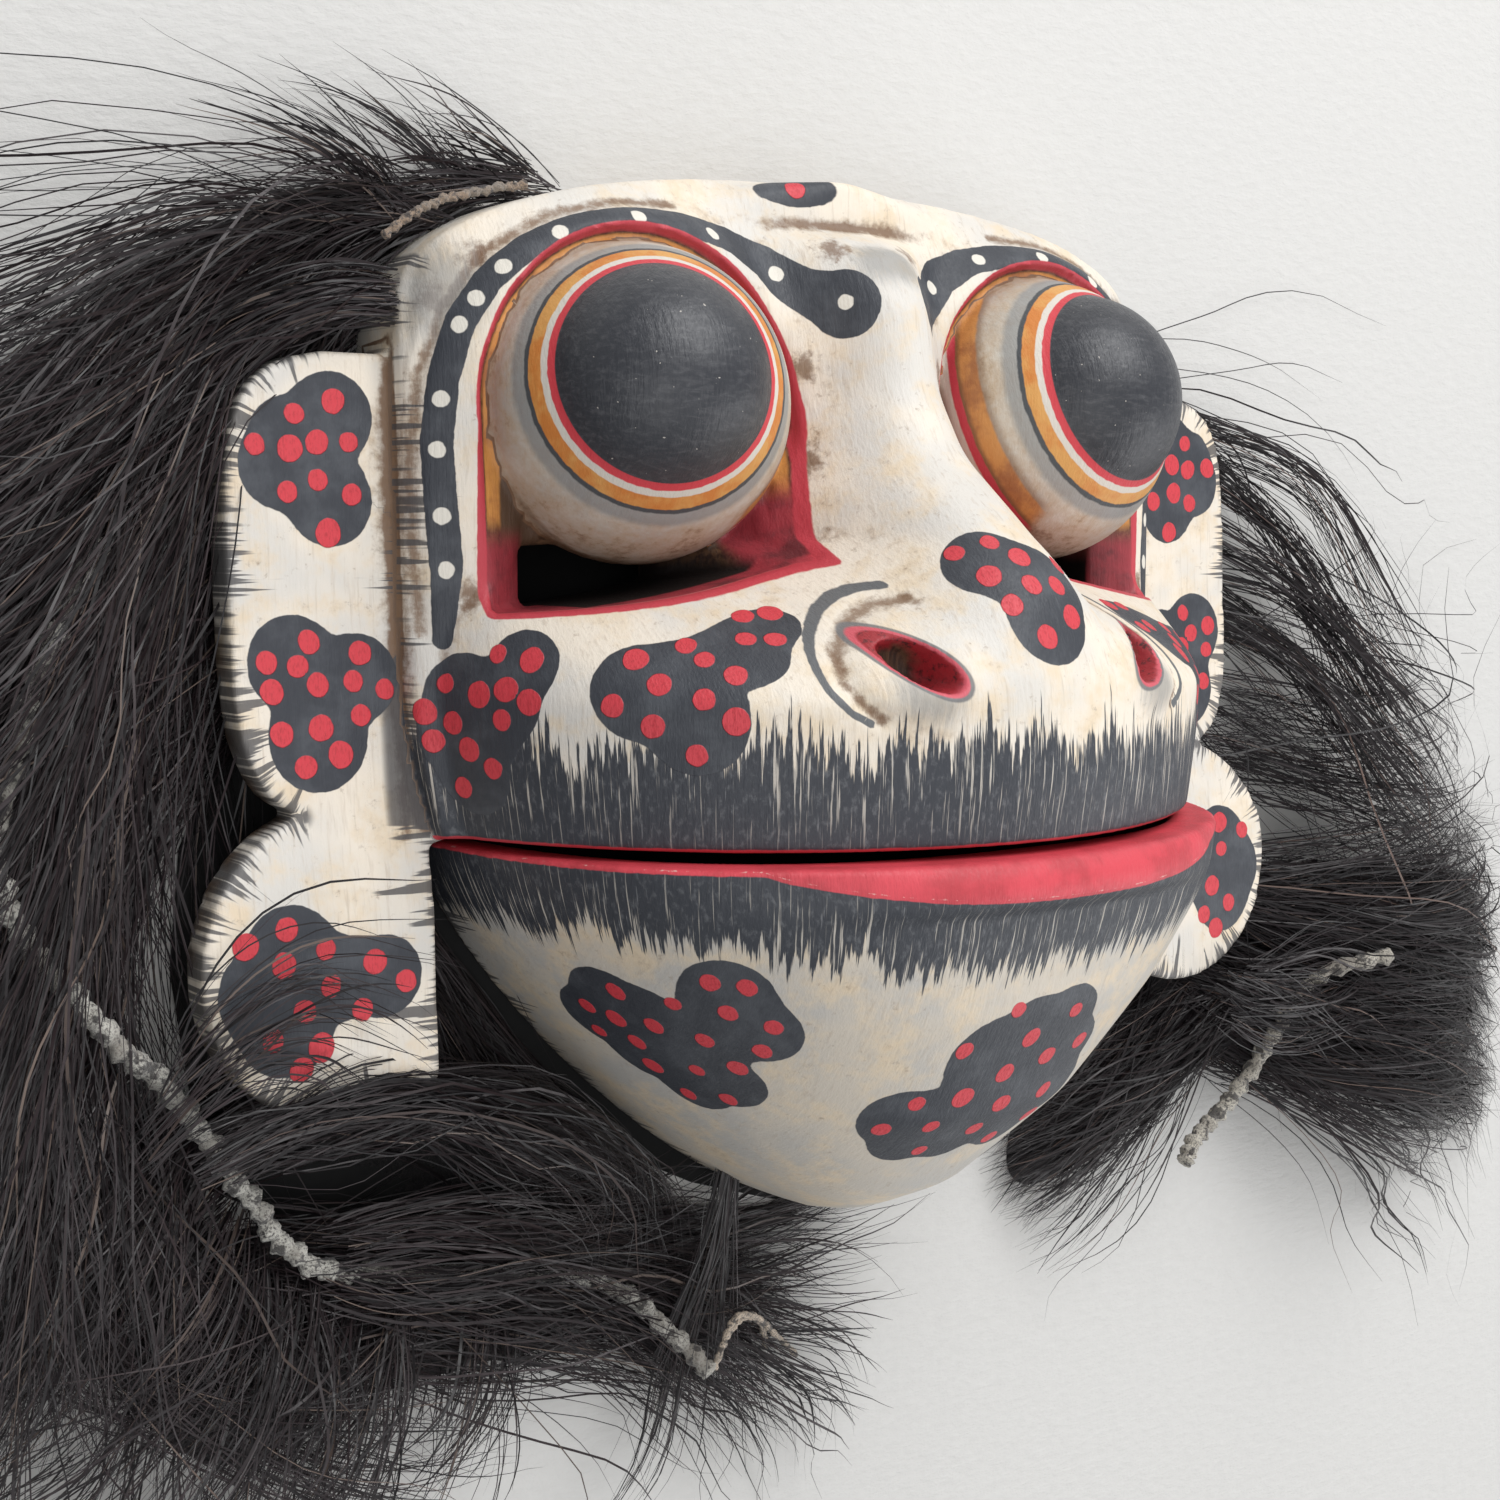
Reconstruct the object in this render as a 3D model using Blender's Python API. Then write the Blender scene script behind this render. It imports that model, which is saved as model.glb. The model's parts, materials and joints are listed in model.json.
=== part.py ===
"""Frog dance mask, lying on its open back.

Carved wood: a face block with bulging eyes and side panels, and a clapping
lower jaw. Two masses of long hair spread from behind the side panels, each
knotted on to its own cotton heading cord. Sizes are in millimetres here and
metres in the result: +Z out of the face, +Y to the crown, +X to the mask's
own left side.
"""
import math

import bmesh
import bpy
from mathutils import Matrix, Vector

MM = 0.001

# Face block
CROWN_Y = 121.5
SHOULDER_Y = 92.0
MOUTH_Y = 10.5
HALF_WIDTH = 84.0
MOUTH_HALF_WIDTH = 79.5
RIM_Z = ((10.5, 15.0), (24.0, 18.0), (90.0, 17.0), (121.5, 11.0))
BROW_Z = 27.0
MUZZLE_DEPTH = 80.0
MUZZLE_ROUND = 1.95
WALL = 8.0
HOLLOW_BEHIND_BROW = 12.0

# Profile up the middle of the face: level, height above the back plane
NOSE_PROFILE = (
    (10.5, 80.0), (22.0, 82.0), (36.0, 81.5), (49.0, 77.0), (56.0, 72.0),
    (64.0, 62.0), (73.0, 50.0), (84.0, 43.0), (100.0, 40.0), (110.0, 33.0),
    (114.0, 20.0), (121.5, 11.0),
)
NOSE_HALF_WIDTH = ((10.5, 30.0), (36.0, 27.0), (56.0, 20.0), (84.0, 14.0), (121.5, 13.0))
NOSE_FLATNESS = 2.8

# Eyes
EYE_X = 45.3
EYE_Y = 81.0
EYE_Z = 24.3
EYE_RADIUS = 26.5
RIGHT_EYE_OUT_AND_UP_DEG = (17.5, 11.5)
LEFT_EYE_OUT_AND_UP_DEG = (8.5, 16.0)
PUPIL_RADIUS = 17.7
PUPIL_DOME_RADIUS = 19.8
LID_RADIUS = 28.8
SOCKET_FLOOR_Z = 18.0
OUTER_CANTHUS = (74.0, 47.0)
INNER_CANTHUS = (21.5, 55.5)
LOWER_LID_DIP = 1.5

# Nostrils
NOSTRIL = (23.5, 40.0)
NOSTRIL_HALF = (8.4, 4.0)
NOSTRIL_TILT_DEG = 40.0
NOSTRIL_DEPTH = 8.0

# Side panels; the lobes are (level of the middle, half height, reach) and (x, level, radius)
EAR_THICK = 7.0
EAR_TOP_LOBE = (51.2, 37.1, 28.5)
EAR_LOW_LOBE = (95.5, -8.5, 25.0)
EAR_FRONT_Z = ((-35.0, 20.5), (0.0, 19.5), (17.0, 16.5), (46.0, 14.2), (89.0, 12.6))
EAR_INNER_X = 80.5

# Lower jaw
JAW_TOP_Y = 8.7
JAW_DROP = 74.7
JAW_HALF_WIDTH = 75.5
JAW_OUTLINE_ROUND = 1.3
JAW_ROUND = 2.6
JAW_WALL = 7.0
JAW_PROFILE = (
    (-66.0, 14.0), (-62.0, 32.0), (-55.0, 47.0), (-38.0, 64.0), (-18.0, 75.0),
    (-4.0, 80.0), (1.0, 81.0), (8.7, 80.0),
)
LIP_HALF_LENGTH = 46.0
LIP_HEIGHT = 8.5
LIP_STANDS_OUT = 4.0

# The jaw swings about the back edge of its two rear corners
HINGE_Y = 6.0
HINGE_Z = 0.0

# Each hair mass: foot of its inner side, foot of its outer side, height of the heap
RIGHT_HAIR = (
    (-68.0, 117.5, -60.0, 125.0, 7.0),
    (-93.0, 99.0, -130.0, 121.0, 18.0),
    (-101.0, 60.0, -190.0, 84.0, 30.0),
    (-100.0, 10.0, -214.0, 4.0, 34.0),
    (-93.0, -32.0, -200.0, -80.0, 32.0),
    (-70.0, -52.0, -124.0, -122.0, 28.0),
    (-32.0, -74.0, -44.0, -125.0, 22.0),
    (12.0, -80.0, 34.0, -119.0, 9.0),
)
LEFT_HAIR = (
    (96.0, 97.0, 108.0, 108.0, 7.0),
    (103.0, 68.0, 158.0, 84.0, 20.0),
    (103.0, 32.0, 190.0, 42.0, 26.0),
    (103.0, -4.0, 212.0, -18.0, 30.0),
    (98.0, -34.0, 204.0, -92.0, 28.0),
    (78.0, -58.0, 120.0, -104.0, 22.0),
    (44.0, -73.0, 58.0, -92.0, 9.0),
)
# Each cord's way over its hair, down the middle of the cord
RIGHT_CORD = (
    (-134.0, 59.0, 19.5), (-148.0, 35.0, 27.0), (-153.5, 12.0, 29.0), (-141.0, -8.0, 22.8),
    (-124.0, -25.5, 14.0), (-111.0, -44.0, 11.0), (-100.0, -58.0, 12.2), (-78.0, -64.5, 9.5),
    (-55.0, -70.0, 6.5), (-36.0, -78.0, 6.5), (-22.5, -93.5, 14.5),
)
LEFT_CORD = (
    (156.0, -34.0, 27.0), (140.0, -38.5, 19.2), (131.0, -50.0, 16.0), (118.0, -62.0, 15.6),
    (106.5, -69.0, 16.0), (99.5, -74.5, 18.0),
)
HEAP_LEAN = 1.9
CORD_DIAMETER = 4.0


def blend(table, at):
    """Read a short profile of (position, size) pairs, in straight steps between them."""
    if at <= table[0][0]:
        return table[0][1]
    for (a, low), (b, high) in zip(table, table[1:]):
        if at <= b:
            t = (at - a) / (b - a)
            return low + (high - low) * t
    return table[-1][1]


def half_width(y):
    """Half the width of the face block at a level."""
    if y <= SHOULDER_Y:
        t = min(1.0, (y - MOUTH_Y) / 26.0)
        return MOUTH_HALF_WIDTH + (HALF_WIDTH - MOUTH_HALF_WIDTH) * math.sin(t * math.pi / 2)
    t = (y - SHOULDER_Y) / (CROWN_Y - SHOULDER_Y)
    return HALF_WIDTH * math.sqrt(max(0.0, 1.0 - t ** 2.6))


def rounded(t, power):
    """Quarter of a superellipse: 1 at the middle, 0 at the edge."""
    return max(0.0, 1.0 - min(1.0, abs(t)) ** power) ** (1.0 / power)


def muzzle_height(x, y, width, depth):
    """The broad muzzle, which rounds over to a shelf below the eyes."""
    over = max(0.0, (y - 33.0) / 17.0)
    shelf = max(0.3, 1.0 - 0.34 * over ** 1.5)
    return depth * shelf * rounded(x / width, MUZZLE_ROUND)


def brow_height(x, y):
    """The flat brow, which falls away to the rim all round."""
    reach = (abs(x) / HALF_WIDTH) ** 4 + (max(0.0, y - 65.0) / 58.0) ** 4
    rim = blend(RIM_Z, y)
    return rim + (BROW_Z - rim) * math.sqrt(max(0.0, 1.0 - reach))


def face_height(x, y):
    """Front surface of the face block above its back plane."""
    width = max(1.0, half_width(y))

    def cheek(at):
        return max(muzzle_height(at, y, width, MUZZLE_DEPTH), brow_height(at, y))

    ridge = max(0.0, blend(NOSE_PROFILE, y) - cheek(0.0))
    spread = math.exp(-(abs(x / blend(NOSE_HALF_WIDTH, y)) ** NOSE_FLATNESS))
    return cheek(x) + ridge * spread


def hollow_half_width(y):
    """Half the width of the hollow in the back, leaving the wall all round."""
    return half_width(y + WALL * max(0.0, (y - 60.0) / 55.0)) - WALL


def hollow_height(x, y):
    """Roof of the hollow that the wearer's face goes into."""
    width = max(1.0, half_width(y) - WALL)
    muzzle = muzzle_height(x, y + 9.0, width, MUZZLE_DEPTH - WALL)
    if y > 46.0:
        muzzle = 0.0
    nose = 0.0
    if y < 90.0:
        spread = math.exp(-(abs(x / (0.72 * blend(NOSE_HALF_WIDTH, y))) ** 4))
        nose = (blend(NOSE_PROFILE, y) - 20.0) * spread
    return max(muzzle, nose, HOLLOW_BEHIND_BROW)


def jaw_half_width(y):
    """Half the width of the jaw's back rim at a level."""
    return JAW_HALF_WIDTH * rounded((JAW_TOP_Y - y) / JAW_DROP, JAW_OUTLINE_ROUND)


def jaw_height(x, y):
    """Front surface of the jaw, with its lip standing out along the top."""
    width = max(1.0, jaw_half_width(y))
    bowl = blend(JAW_PROFILE, y) * rounded(x / width, JAW_ROUND)
    along = max(0.0, 1.0 - (x / LIP_HALF_LENGTH) ** 2)
    down = rounded((y - JAW_TOP_Y + 0.45 * LIP_HEIGHT) / (0.55 * LIP_HEIGHT), 2.0)
    return max(2.0, bowl + LIP_STANDS_OUT * along * down)


def jaw_hollow_width(y):
    """Half the width of the hollow inside the jaw."""
    inner = (JAW_TOP_Y - y) / (JAW_DROP - 11.0)
    return (JAW_HALF_WIDTH - JAW_WALL) * rounded(inner, JAW_OUTLINE_ROUND)


def jaw_hollow_height(x, y):
    """Depth of the hollow inside the jaw."""
    width = max(1.0, jaw_hollow_width(y))
    return max(1.0, (blend(JAW_PROFILE, y) - JAW_WALL - 1.5) * rounded(x / width, JAW_ROUND))


def mesh_object(name, bm, collection):
    """Close a mesh, scale it from millimetres and link it."""
    bmesh.ops.recalc_face_normals(bm, faces=bm.faces)
    bmesh.ops.scale(bm, vec=(MM, MM, MM), verts=bm.verts)
    mesh = bpy.data.meshes.new(name)
    bm.to_mesh(mesh)
    bm.free()
    thing = bpy.data.objects.new(name, mesh)
    collection.objects.link(thing)
    return thing


def carved_block(name, levels, width_at, height_at, columns, base_z, collection):
    """A closed block: one cross-section per level, flat behind and at its first level."""
    bm = bmesh.new()
    rows = []
    for y in levels:
        width = max(0.6, width_at(y))
        row = [bm.verts.new((-width, y, base_z))]
        for i in range(columns + 1):
            x = width * math.sin(math.pi * (i / columns - 0.5))
            row.append(bm.verts.new((x, y, height_at(x, y))))
        row.append(bm.verts.new((width, y, base_z)))
        rows.append(row)
    for low, high in zip(rows, rows[1:]):
        for i in range(len(low) - 1):
            bm.faces.new((low[i], low[i + 1], high[i + 1], high[i]))
        bm.faces.new((low[0], high[0], high[-1], low[-1]))
    bm.faces.new(rows[0])
    bm.faces.new(rows[-1])
    return mesh_object(name, bm, collection)


def prism(name, loops, collection):
    """A closed solid through a stack of equal outlines, each a list of (x, y, z)."""
    bm = bmesh.new()
    rings = [[bm.verts.new(point) for point in loop] for loop in loops]
    for low, high in zip(rings, rings[1:]):
        for i in range(len(low)):
            j = (i + 1) % len(low)
            bm.faces.new((low[i], low[j], high[j], high[i]))
    bm.faces.new(rings[0])
    bm.faces.new(rings[-1])
    return mesh_object(name, bm, collection)


def turned(name, profile, centre, axis, segments, collection):
    """A solid turned about an axis from (radius, distance along the axis) pairs."""
    turn = Vector((0.0, 0.0, 1.0)).rotation_difference(Vector(axis))
    bm = bmesh.new()
    rings = []
    for radius, along in profile:
        ring = []
        for i in range(segments):
            angle = 2.0 * math.pi * i / segments
            local = Vector((radius * math.cos(angle), radius * math.sin(angle), along))
            ring.append(bm.verts.new(Vector(centre) + turn @ local))
        rings.append(ring)
    for low, high in zip(rings, rings[1:]):
        for i in range(segments):
            j = (i + 1) % segments
            bm.faces.new((low[i], low[j], high[j], high[i]))
    bm.faces.new(rings[0])
    bm.faces.new(rings[-1])
    return mesh_object(name, bm, collection)


def combine(target, tool, operation):
    """Add an exact Boolean to a block; the tool stays as a hidden cutter."""
    modifier = target.modifiers.new(tool.name, "BOOLEAN")
    modifier.operation = operation
    modifier.solver = "EXACT"
    modifier.object = tool
    tool.hide_render = True
    tool.display_type = "WIRE"


def material(name, colour, roughness):
    """A plain finish for one piece."""
    finish = bpy.data.materials.new(name)
    finish.use_nodes = True
    shader = finish.node_tree.nodes["Principled BSDF"]
    shader.inputs["Base Color"].default_value = (*colour, 1.0)
    shader.inputs["Roughness"].default_value = roughness
    shader.inputs["Metallic"].default_value = 0.0
    return finish


def levels_between(start, stop, count, crowd):
    """Levels from start to stop that crowd together towards stop."""
    out = []
    for i in range(count + 1):
        t = i / count
        out.append(start + (stop - start) * (1.0 - (1.0 - t) ** crowd))
    return out


def eye_outline(side, inset, z):
    """Outline of a socket: round above, drawn down to the two corners of the eye."""
    points = []
    radius = LID_RADIUS - inset
    for i in range(19):
        angle = math.radians(-8.0 + 196.0 * i / 18)
        points.append((EYE_X + radius * math.cos(angle), EYE_Y + radius * math.sin(angle)))
    inner = (INNER_CANTHUS[0] + 2.2 * inset, INNER_CANTHUS[1] + 0.3 * inset)
    outer = (OUTER_CANTHUS[0] - 2.4 * inset, OUTER_CANTHUS[1] + 1.0 * inset)
    for i in range(7):
        t = i / 6
        dip = LOWER_LID_DIP * math.sin(math.pi * t)
        points.append((
            inner[0] + (outer[0] - inner[0]) * t,
            inner[1] + (outer[1] - inner[1]) * t - dip,
        ))
    return [(side * x, y, z) for x, y in points]


def slit_outline(side, inset, z):
    """Outline of the slit that the wearer sees through, below the eyeball."""
    inner = (INNER_CANTHUS[0] + 1.0 + 2.2 * inset, INNER_CANTHUS[1] + 0.3 * inset)
    outer = (OUTER_CANTHUS[0] - 1.0 - 4.0 * inset, OUTER_CANTHUS[1] + 1.0 * inset)
    points = []
    for i in range(7):
        t = i / 6
        dip = LOWER_LID_DIP * math.sin(math.pi * t)
        points.append((
            inner[0] + (outer[0] - inner[0]) * t,
            inner[1] + (outer[1] - inner[1]) * t - dip,
        ))
    points.append((outer[0], outer[1] + 10.0))
    points.append((inner[0], inner[1] + 6.0))
    return [(side * x, y, z) for x, y in points]


def eye_axis(side):
    """Direction an eye looks in: a little outwards and up, each cut by eye."""
    aim = RIGHT_EYE_OUT_AND_UP_DEG if side < 0 else LEFT_EYE_OUT_AND_UP_DEG
    out, up = math.radians(aim[0]), math.radians(aim[1])
    return (side * math.sin(out) * math.cos(up), math.sin(up), math.cos(out) * math.cos(up))


def eye_profile():
    """Half profile of an eyeball with the domed pupil raised on it."""
    profile = []
    ring = math.asin(PUPIL_RADIUS / EYE_RADIUS)
    for i in range(9):
        angle = math.pi * 0.80 + (ring - math.pi * 0.80) * i / 8
        profile.append((EYE_RADIUS * math.sin(angle), EYE_RADIUS * math.cos(angle)))
    edge = math.asin(PUPIL_RADIUS / PUPIL_DOME_RADIUS)
    base = profile[-1][1] - PUPIL_DOME_RADIUS * math.cos(edge)
    for i in range(1, 7):
        angle = edge * (1.0 - i / 6.3)
        radius = PUPIL_DOME_RADIUS * math.sin(angle)
        profile.append((radius, base + PUPIL_DOME_RADIUS * math.cos(angle)))
    return profile


def ear_outer_x(y):
    """Outer edge of a side panel: an upper lobe, a waist, then a lower lobe."""
    mid, half, reach = EAR_TOP_LOBE
    upper = HALF_WIDTH + reach * rounded((y - mid) / half, 4.0)
    if abs(y - mid) > half:
        upper = 0.0
    x, low_y, radius = EAR_LOW_LOBE
    inside = radius ** 2 - (y - low_y) ** 2
    lower = x + math.sqrt(inside) if inside > 0.0 else 0.0
    return max(upper, lower)


def ear_inner_x(y):
    """Inner edge: buried in the face above the mouth, free beside the jaw below it."""
    if y > MOUTH_Y:
        return MOUTH_HALF_WIDTH - 4.0
    x, low_y, radius = EAR_LOW_LOBE
    inside = max(0.0, radius ** 2 - (y - low_y) ** 2)
    return max(EAR_INNER_X, x - math.sqrt(inside))


def side_panel(name, side, collection):
    """A flat panel carved out from the side of the face, tipped forward at its foot."""
    x, low_y, radius = EAR_LOW_LOBE
    bottom = low_y - radius + 0.35
    top = EAR_TOP_LOBE[0] + EAR_TOP_LOBE[1] - 0.25
    levels = [bottom, bottom + 1.2, bottom + 3.2]
    y = bottom + 6.5
    while y < MOUTH_Y - 2.0:
        levels.append(y)
        y += 4.5
    levels += [MOUTH_Y - 0.02, MOUTH_Y + 0.02, 13.5, 16.5, 20.0]
    y = 26.0
    while y < top - 7.0:
        levels.append(y)
        y += 9.0
    levels += [top - 5.0, top - 1.6, top]
    bm = bmesh.new()
    rings = []
    for y in levels:
        inner = ear_inner_x(y)
        outer = max(inner + 1.0, ear_outer_x(y))
        front = blend(EAR_FRONT_Z, y)
        back = front - EAR_THICK
        soft = min(2.0, 0.3 * (outer - inner))
        section = (
            (inner, back), (outer - soft, back), (outer, back + 1.5),
            (outer, front - 1.5), (outer - soft, front), (inner, front),
        )
        rings.append([bm.verts.new((side * x_at, y, z_at)) for x_at, z_at in section])
    for low, high in zip(rings, rings[1:]):
        for i in range(6):
            j = (i + 1) % 6
            bm.faces.new((low[i], low[j], high[j], high[i]))
    bm.faces.new(rings[0])
    bm.faces.new(rings[-1])
    return mesh_object(name, bm, collection)


def nostril(name, side, collection):
    """A leaf-shaped blind hollow in one wing of the nose."""
    tilt = math.radians(NOSTRIL_TILT_DEG)
    floor = face_height(NOSTRIL[0], NOSTRIL[1]) - NOSTRIL_DEPTH
    loops = []
    for z, scale in ((floor, 0.55), (floor + 4.0, 0.85), (floor + 26.0, 1.15)):
        loop = []
        for i in range(14):
            angle = 2.0 * math.pi * i / 14
            long = NOSTRIL_HALF[0] * math.cos(angle) * scale
            wide = NOSTRIL_HALF[1] * math.sin(angle) * abs(math.sin(angle)) ** 0.4 * scale
            x = NOSTRIL[0] + long * math.cos(tilt) - wide * math.sin(tilt)
            y = NOSTRIL[1] + long * math.sin(tilt) + wide * math.cos(tilt)
            loop.append((side * x, y, z))
        loops.append(loop)
    return prism(name, loops, collection)


def smooth_between(stations, t):
    """Catmull-Rom through a short list of equal-length tuples; t runs from 0 to 1."""
    last = len(stations) - 1
    at = min(t * last, last - 1e-9)
    i = int(at)
    u = at - i
    before, start = stations[max(0, i - 1)], stations[i]
    end, after = stations[i + 1], stations[min(last, i + 2)]
    out = []
    for a, b, c, d in zip(before, start, end, after):
        out.append(0.5 * (
            2.0 * b + (c - a) * u + (2.0 * a - 5.0 * b + 4.0 * c - d) * u ** 2
            + (3.0 * b - a - 3.0 * c + d) * u ** 3
        ))
    return out


def heap_point(stations, t, across):
    """A point on top of a hair mass: t along it, across from its inner foot to its outer."""
    ix, iy, ox, oy, height = smooth_between(stations, t)
    rise = math.sin(math.pi * across ** HEAP_LEAN) ** 0.75
    return (ix + (ox - ix) * across, iy + (oy - iy) * across, height * rise)


def hair_heap(name, stations, collection):
    """A soft mass of hair lying on the floor, as one closed low mound."""
    bm = bmesh.new()
    rings = []
    count = 3 * (len(stations) - 1)
    for i in range(count + 1):
        rings.append([bm.verts.new(heap_point(stations, i / count, k / 8)) for k in range(9)])
    for low, high in zip(rings, rings[1:]):
        for k in range(8):
            bm.faces.new((low[k], low[k + 1], high[k + 1], high[k]))
        bm.faces.new((low[0], high[0], high[8], low[8]))
    bm.faces.new(rings[0])
    bm.faces.new(rings[-1])
    return mesh_object(name, bm, collection)


def heading_cord(name, route, points, collection):
    """A limp knotted cord lying along the top of a hair mass."""
    curve = bpy.data.curves.new(name, "CURVE")
    curve.dimensions = "3D"
    curve.bevel_depth = CORD_DIAMETER * 0.5 * MM
    curve.bevel_resolution = 2
    curve.use_fill_caps = True
    spline = curve.splines.new("POLY")
    spline.points.add(points - 1)
    for i in range(points):
        x, y, z = smooth_between(route, i / (points - 1))
        spline.points[i].co = (x * MM, y * MM, z * MM, 1.0)
    thing = bpy.data.objects.new(name, curve)
    collection.objects.link(thing)
    return thing


for old in list(bpy.data.objects):
    bpy.data.objects.remove(old)

pieces = bpy.data.collections.new("Frog dance mask")
cutters = bpy.data.collections.new("Cutters")
bpy.context.scene.collection.children.link(pieces)
bpy.context.scene.collection.children.link(cutters)

# Face block: the block, then sockets and slits, eyes, side panels, hollow, nostrils
face_levels = [MOUTH_Y, 16.0, 23.0, 29.5, 35.0, 40.0, 44.5, 48.5, 52.5, 57.0, 62.0, 68.0, 75.0, 83.0]
face_levels += levels_between(92.0, CROWN_Y - 0.02, 9, 1.6)
face = carved_block("face_block", face_levels, half_width, face_height, 34, 0.0, pieces)
for side, word in ((-1, "right"), (1, "left")):
    socket = prism(
        f"{word}_socket",
        (eye_outline(side, 0.0, SOCKET_FLOOR_Z), eye_outline(side, 0.0, 96.0)),
        cutters,
    )
    combine(face, socket, "DIFFERENCE")
    slit = prism(
        f"{word}_slit",
        (
            slit_outline(side, 2.0, -6.0),
            slit_outline(side, 2.0, SOCKET_FLOOR_Z - 6.0),
            slit_outline(side, 0.0, SOCKET_FLOOR_Z + 2.0),
        ),
        cutters,
    )
    combine(face, slit, "DIFFERENCE")
for side, word in ((-1, "right"), (1, "left")):
    eye = turned(
        f"{word}_eye",
        eye_profile(),
        (side * EYE_X, EYE_Y, EYE_Z),
        eye_axis(side),
        22,
        cutters,
    )
    combine(face, eye, "UNION")
    combine(face, side_panel(f"{word}_panel", side, cutters), "UNION")
hollow_levels = [MOUTH_Y - 6.0, 17.3, 24.2, 30.4, 35.7, 40.6, 45.9, 46.1, 51.0, 57.7, 65.0, 74.0, 82.0]
hollow_levels += levels_between(90.6, CROWN_Y - WALL, 6, 1.6)
hollow = carved_block(
    "hollow", hollow_levels, hollow_half_width, hollow_height, 24, -5.0, cutters,
)
combine(face, hollow, "DIFFERENCE")
for side, word in ((-1, "right"), (1, "left")):
    combine(face, nostril(f"{word}_nostril", side, cutters), "DIFFERENCE")

# Lower jaw: a bowl with its own hollow, swinging at its rear corners
jaw_levels = [JAW_TOP_Y, 6.5, 3.5, 0.8, -1.0, -6.0, -12.0, -19.0, -26.0, -33.0]
jaw_levels += levels_between(-40.0, JAW_TOP_Y - JAW_DROP + 0.05, 8, 1.5)
jaw = carved_block("lower_jaw", jaw_levels, jaw_half_width, jaw_height, 34, 0.0, pieces)
jaw_hollow_levels = [JAW_TOP_Y + 6.0, 8.0, 0.0, -8.0, -16.0, -24.0, -32.0]
jaw_hollow_levels += levels_between(-38.0, JAW_TOP_Y - JAW_DROP + 11.4, 5, 1.5)
jaw_hollow = carved_block(
    "jaw_hollow", jaw_hollow_levels, jaw_hollow_width, jaw_hollow_height, 24, -5.0, cutters,
)
combine(jaw, jaw_hollow, "DIFFERENCE")
hinge = Vector((0.0, HINGE_Y, HINGE_Z)) * MM
jaw.data.transform(Matrix.Translation(-hinge))
jaw.location = hinge

# Hair and the cords it is knotted on to
right_hair = hair_heap("right_hair", RIGHT_HAIR, pieces)
left_hair = hair_heap("left_hair", LEFT_HAIR, pieces)
right_cord = heading_cord("right_heading_cord", RIGHT_CORD, 34, pieces)
left_cord = heading_cord("left_heading_cord", LEFT_CORD, 14, pieces)

for thing, finish in (
    (face, material("painted face wood", (0.78, 0.70, 0.60), 0.5)),
    (jaw, material("painted jaw wood", (0.80, 0.72, 0.62), 0.5)),
    (right_hair, material("right dark hair", (0.03, 0.022, 0.02), 0.55)),
    (left_hair, material("left dark hair", (0.03, 0.023, 0.021), 0.55)),
    (right_cord, material("right cotton cord", (0.50, 0.49, 0.45), 0.9)),
    (left_cord, material("left cotton cord", (0.51, 0.49, 0.45), 0.9)),
):
    thing.data.materials.append(finish)
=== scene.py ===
"""Looks of the frog dance mask: painted carved wood, long dark hair, knotted cords.

Sizes are in millimetres until a mesh is made. +Z is out of the face, +Y the
crown, +X the mask's own left side, as in the frame.
"""
import json
import math
import random

import bmesh
import bpy
import numpy as np
from mathutils import Matrix, Vector
from mathutils.bvhtree import BVHTree


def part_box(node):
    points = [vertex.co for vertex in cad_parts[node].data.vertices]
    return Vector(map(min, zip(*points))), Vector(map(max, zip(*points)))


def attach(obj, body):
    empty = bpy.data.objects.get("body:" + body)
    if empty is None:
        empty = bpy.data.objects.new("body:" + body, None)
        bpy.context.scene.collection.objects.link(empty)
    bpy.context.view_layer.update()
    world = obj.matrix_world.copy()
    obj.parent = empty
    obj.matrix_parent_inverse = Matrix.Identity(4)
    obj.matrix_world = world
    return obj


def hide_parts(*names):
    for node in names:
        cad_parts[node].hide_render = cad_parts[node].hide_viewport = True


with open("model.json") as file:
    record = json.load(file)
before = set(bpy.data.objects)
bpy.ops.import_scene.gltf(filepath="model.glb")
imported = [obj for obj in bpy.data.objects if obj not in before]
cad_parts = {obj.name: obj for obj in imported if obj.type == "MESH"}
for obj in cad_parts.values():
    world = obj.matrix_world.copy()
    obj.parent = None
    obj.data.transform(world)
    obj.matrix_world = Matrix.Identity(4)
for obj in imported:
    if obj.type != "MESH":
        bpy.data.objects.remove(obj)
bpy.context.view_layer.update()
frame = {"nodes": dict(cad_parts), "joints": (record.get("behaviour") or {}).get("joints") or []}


# ---------------------------------------------------------------------------
# Camera: stands at the mask's right shoulder and looks down across the face,
# with the crown at the top of the picture.

MM = 0.001
CAMERA_AT = (-249.2, 60.0, 333.5)
CAMERA_AIM = (-0.9, 18.7, -2.7)


def aimed(place, aim):
    """Matrix of a thing in one place that faces another, with its top towards the crown."""
    back = (Vector(place) - Vector(aim)).normalized()
    side = Vector((0.0, 1.0, 0.0)).cross(back).normalized()
    matrix = Matrix((side, back.cross(side), back)).transposed().to_4x4()
    matrix.translation = Vector(place) * MM
    return matrix


def placed(name, data):
    """Put a mesh, lamp or camera into the scene as a thing of its own."""
    thing = bpy.data.objects.new(name, data)
    bpy.context.scene.collection.objects.link(thing)
    return thing


camera = placed("Camera", bpy.data.cameras.new("Camera"))
camera.matrix_world = aimed(CAMERA_AT, CAMERA_AIM)
camera.data.lens = 52.95
camera.data.sensor_width = 36.0
camera.data.clip_start = 0.01
bpy.context.scene.camera = camera


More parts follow.
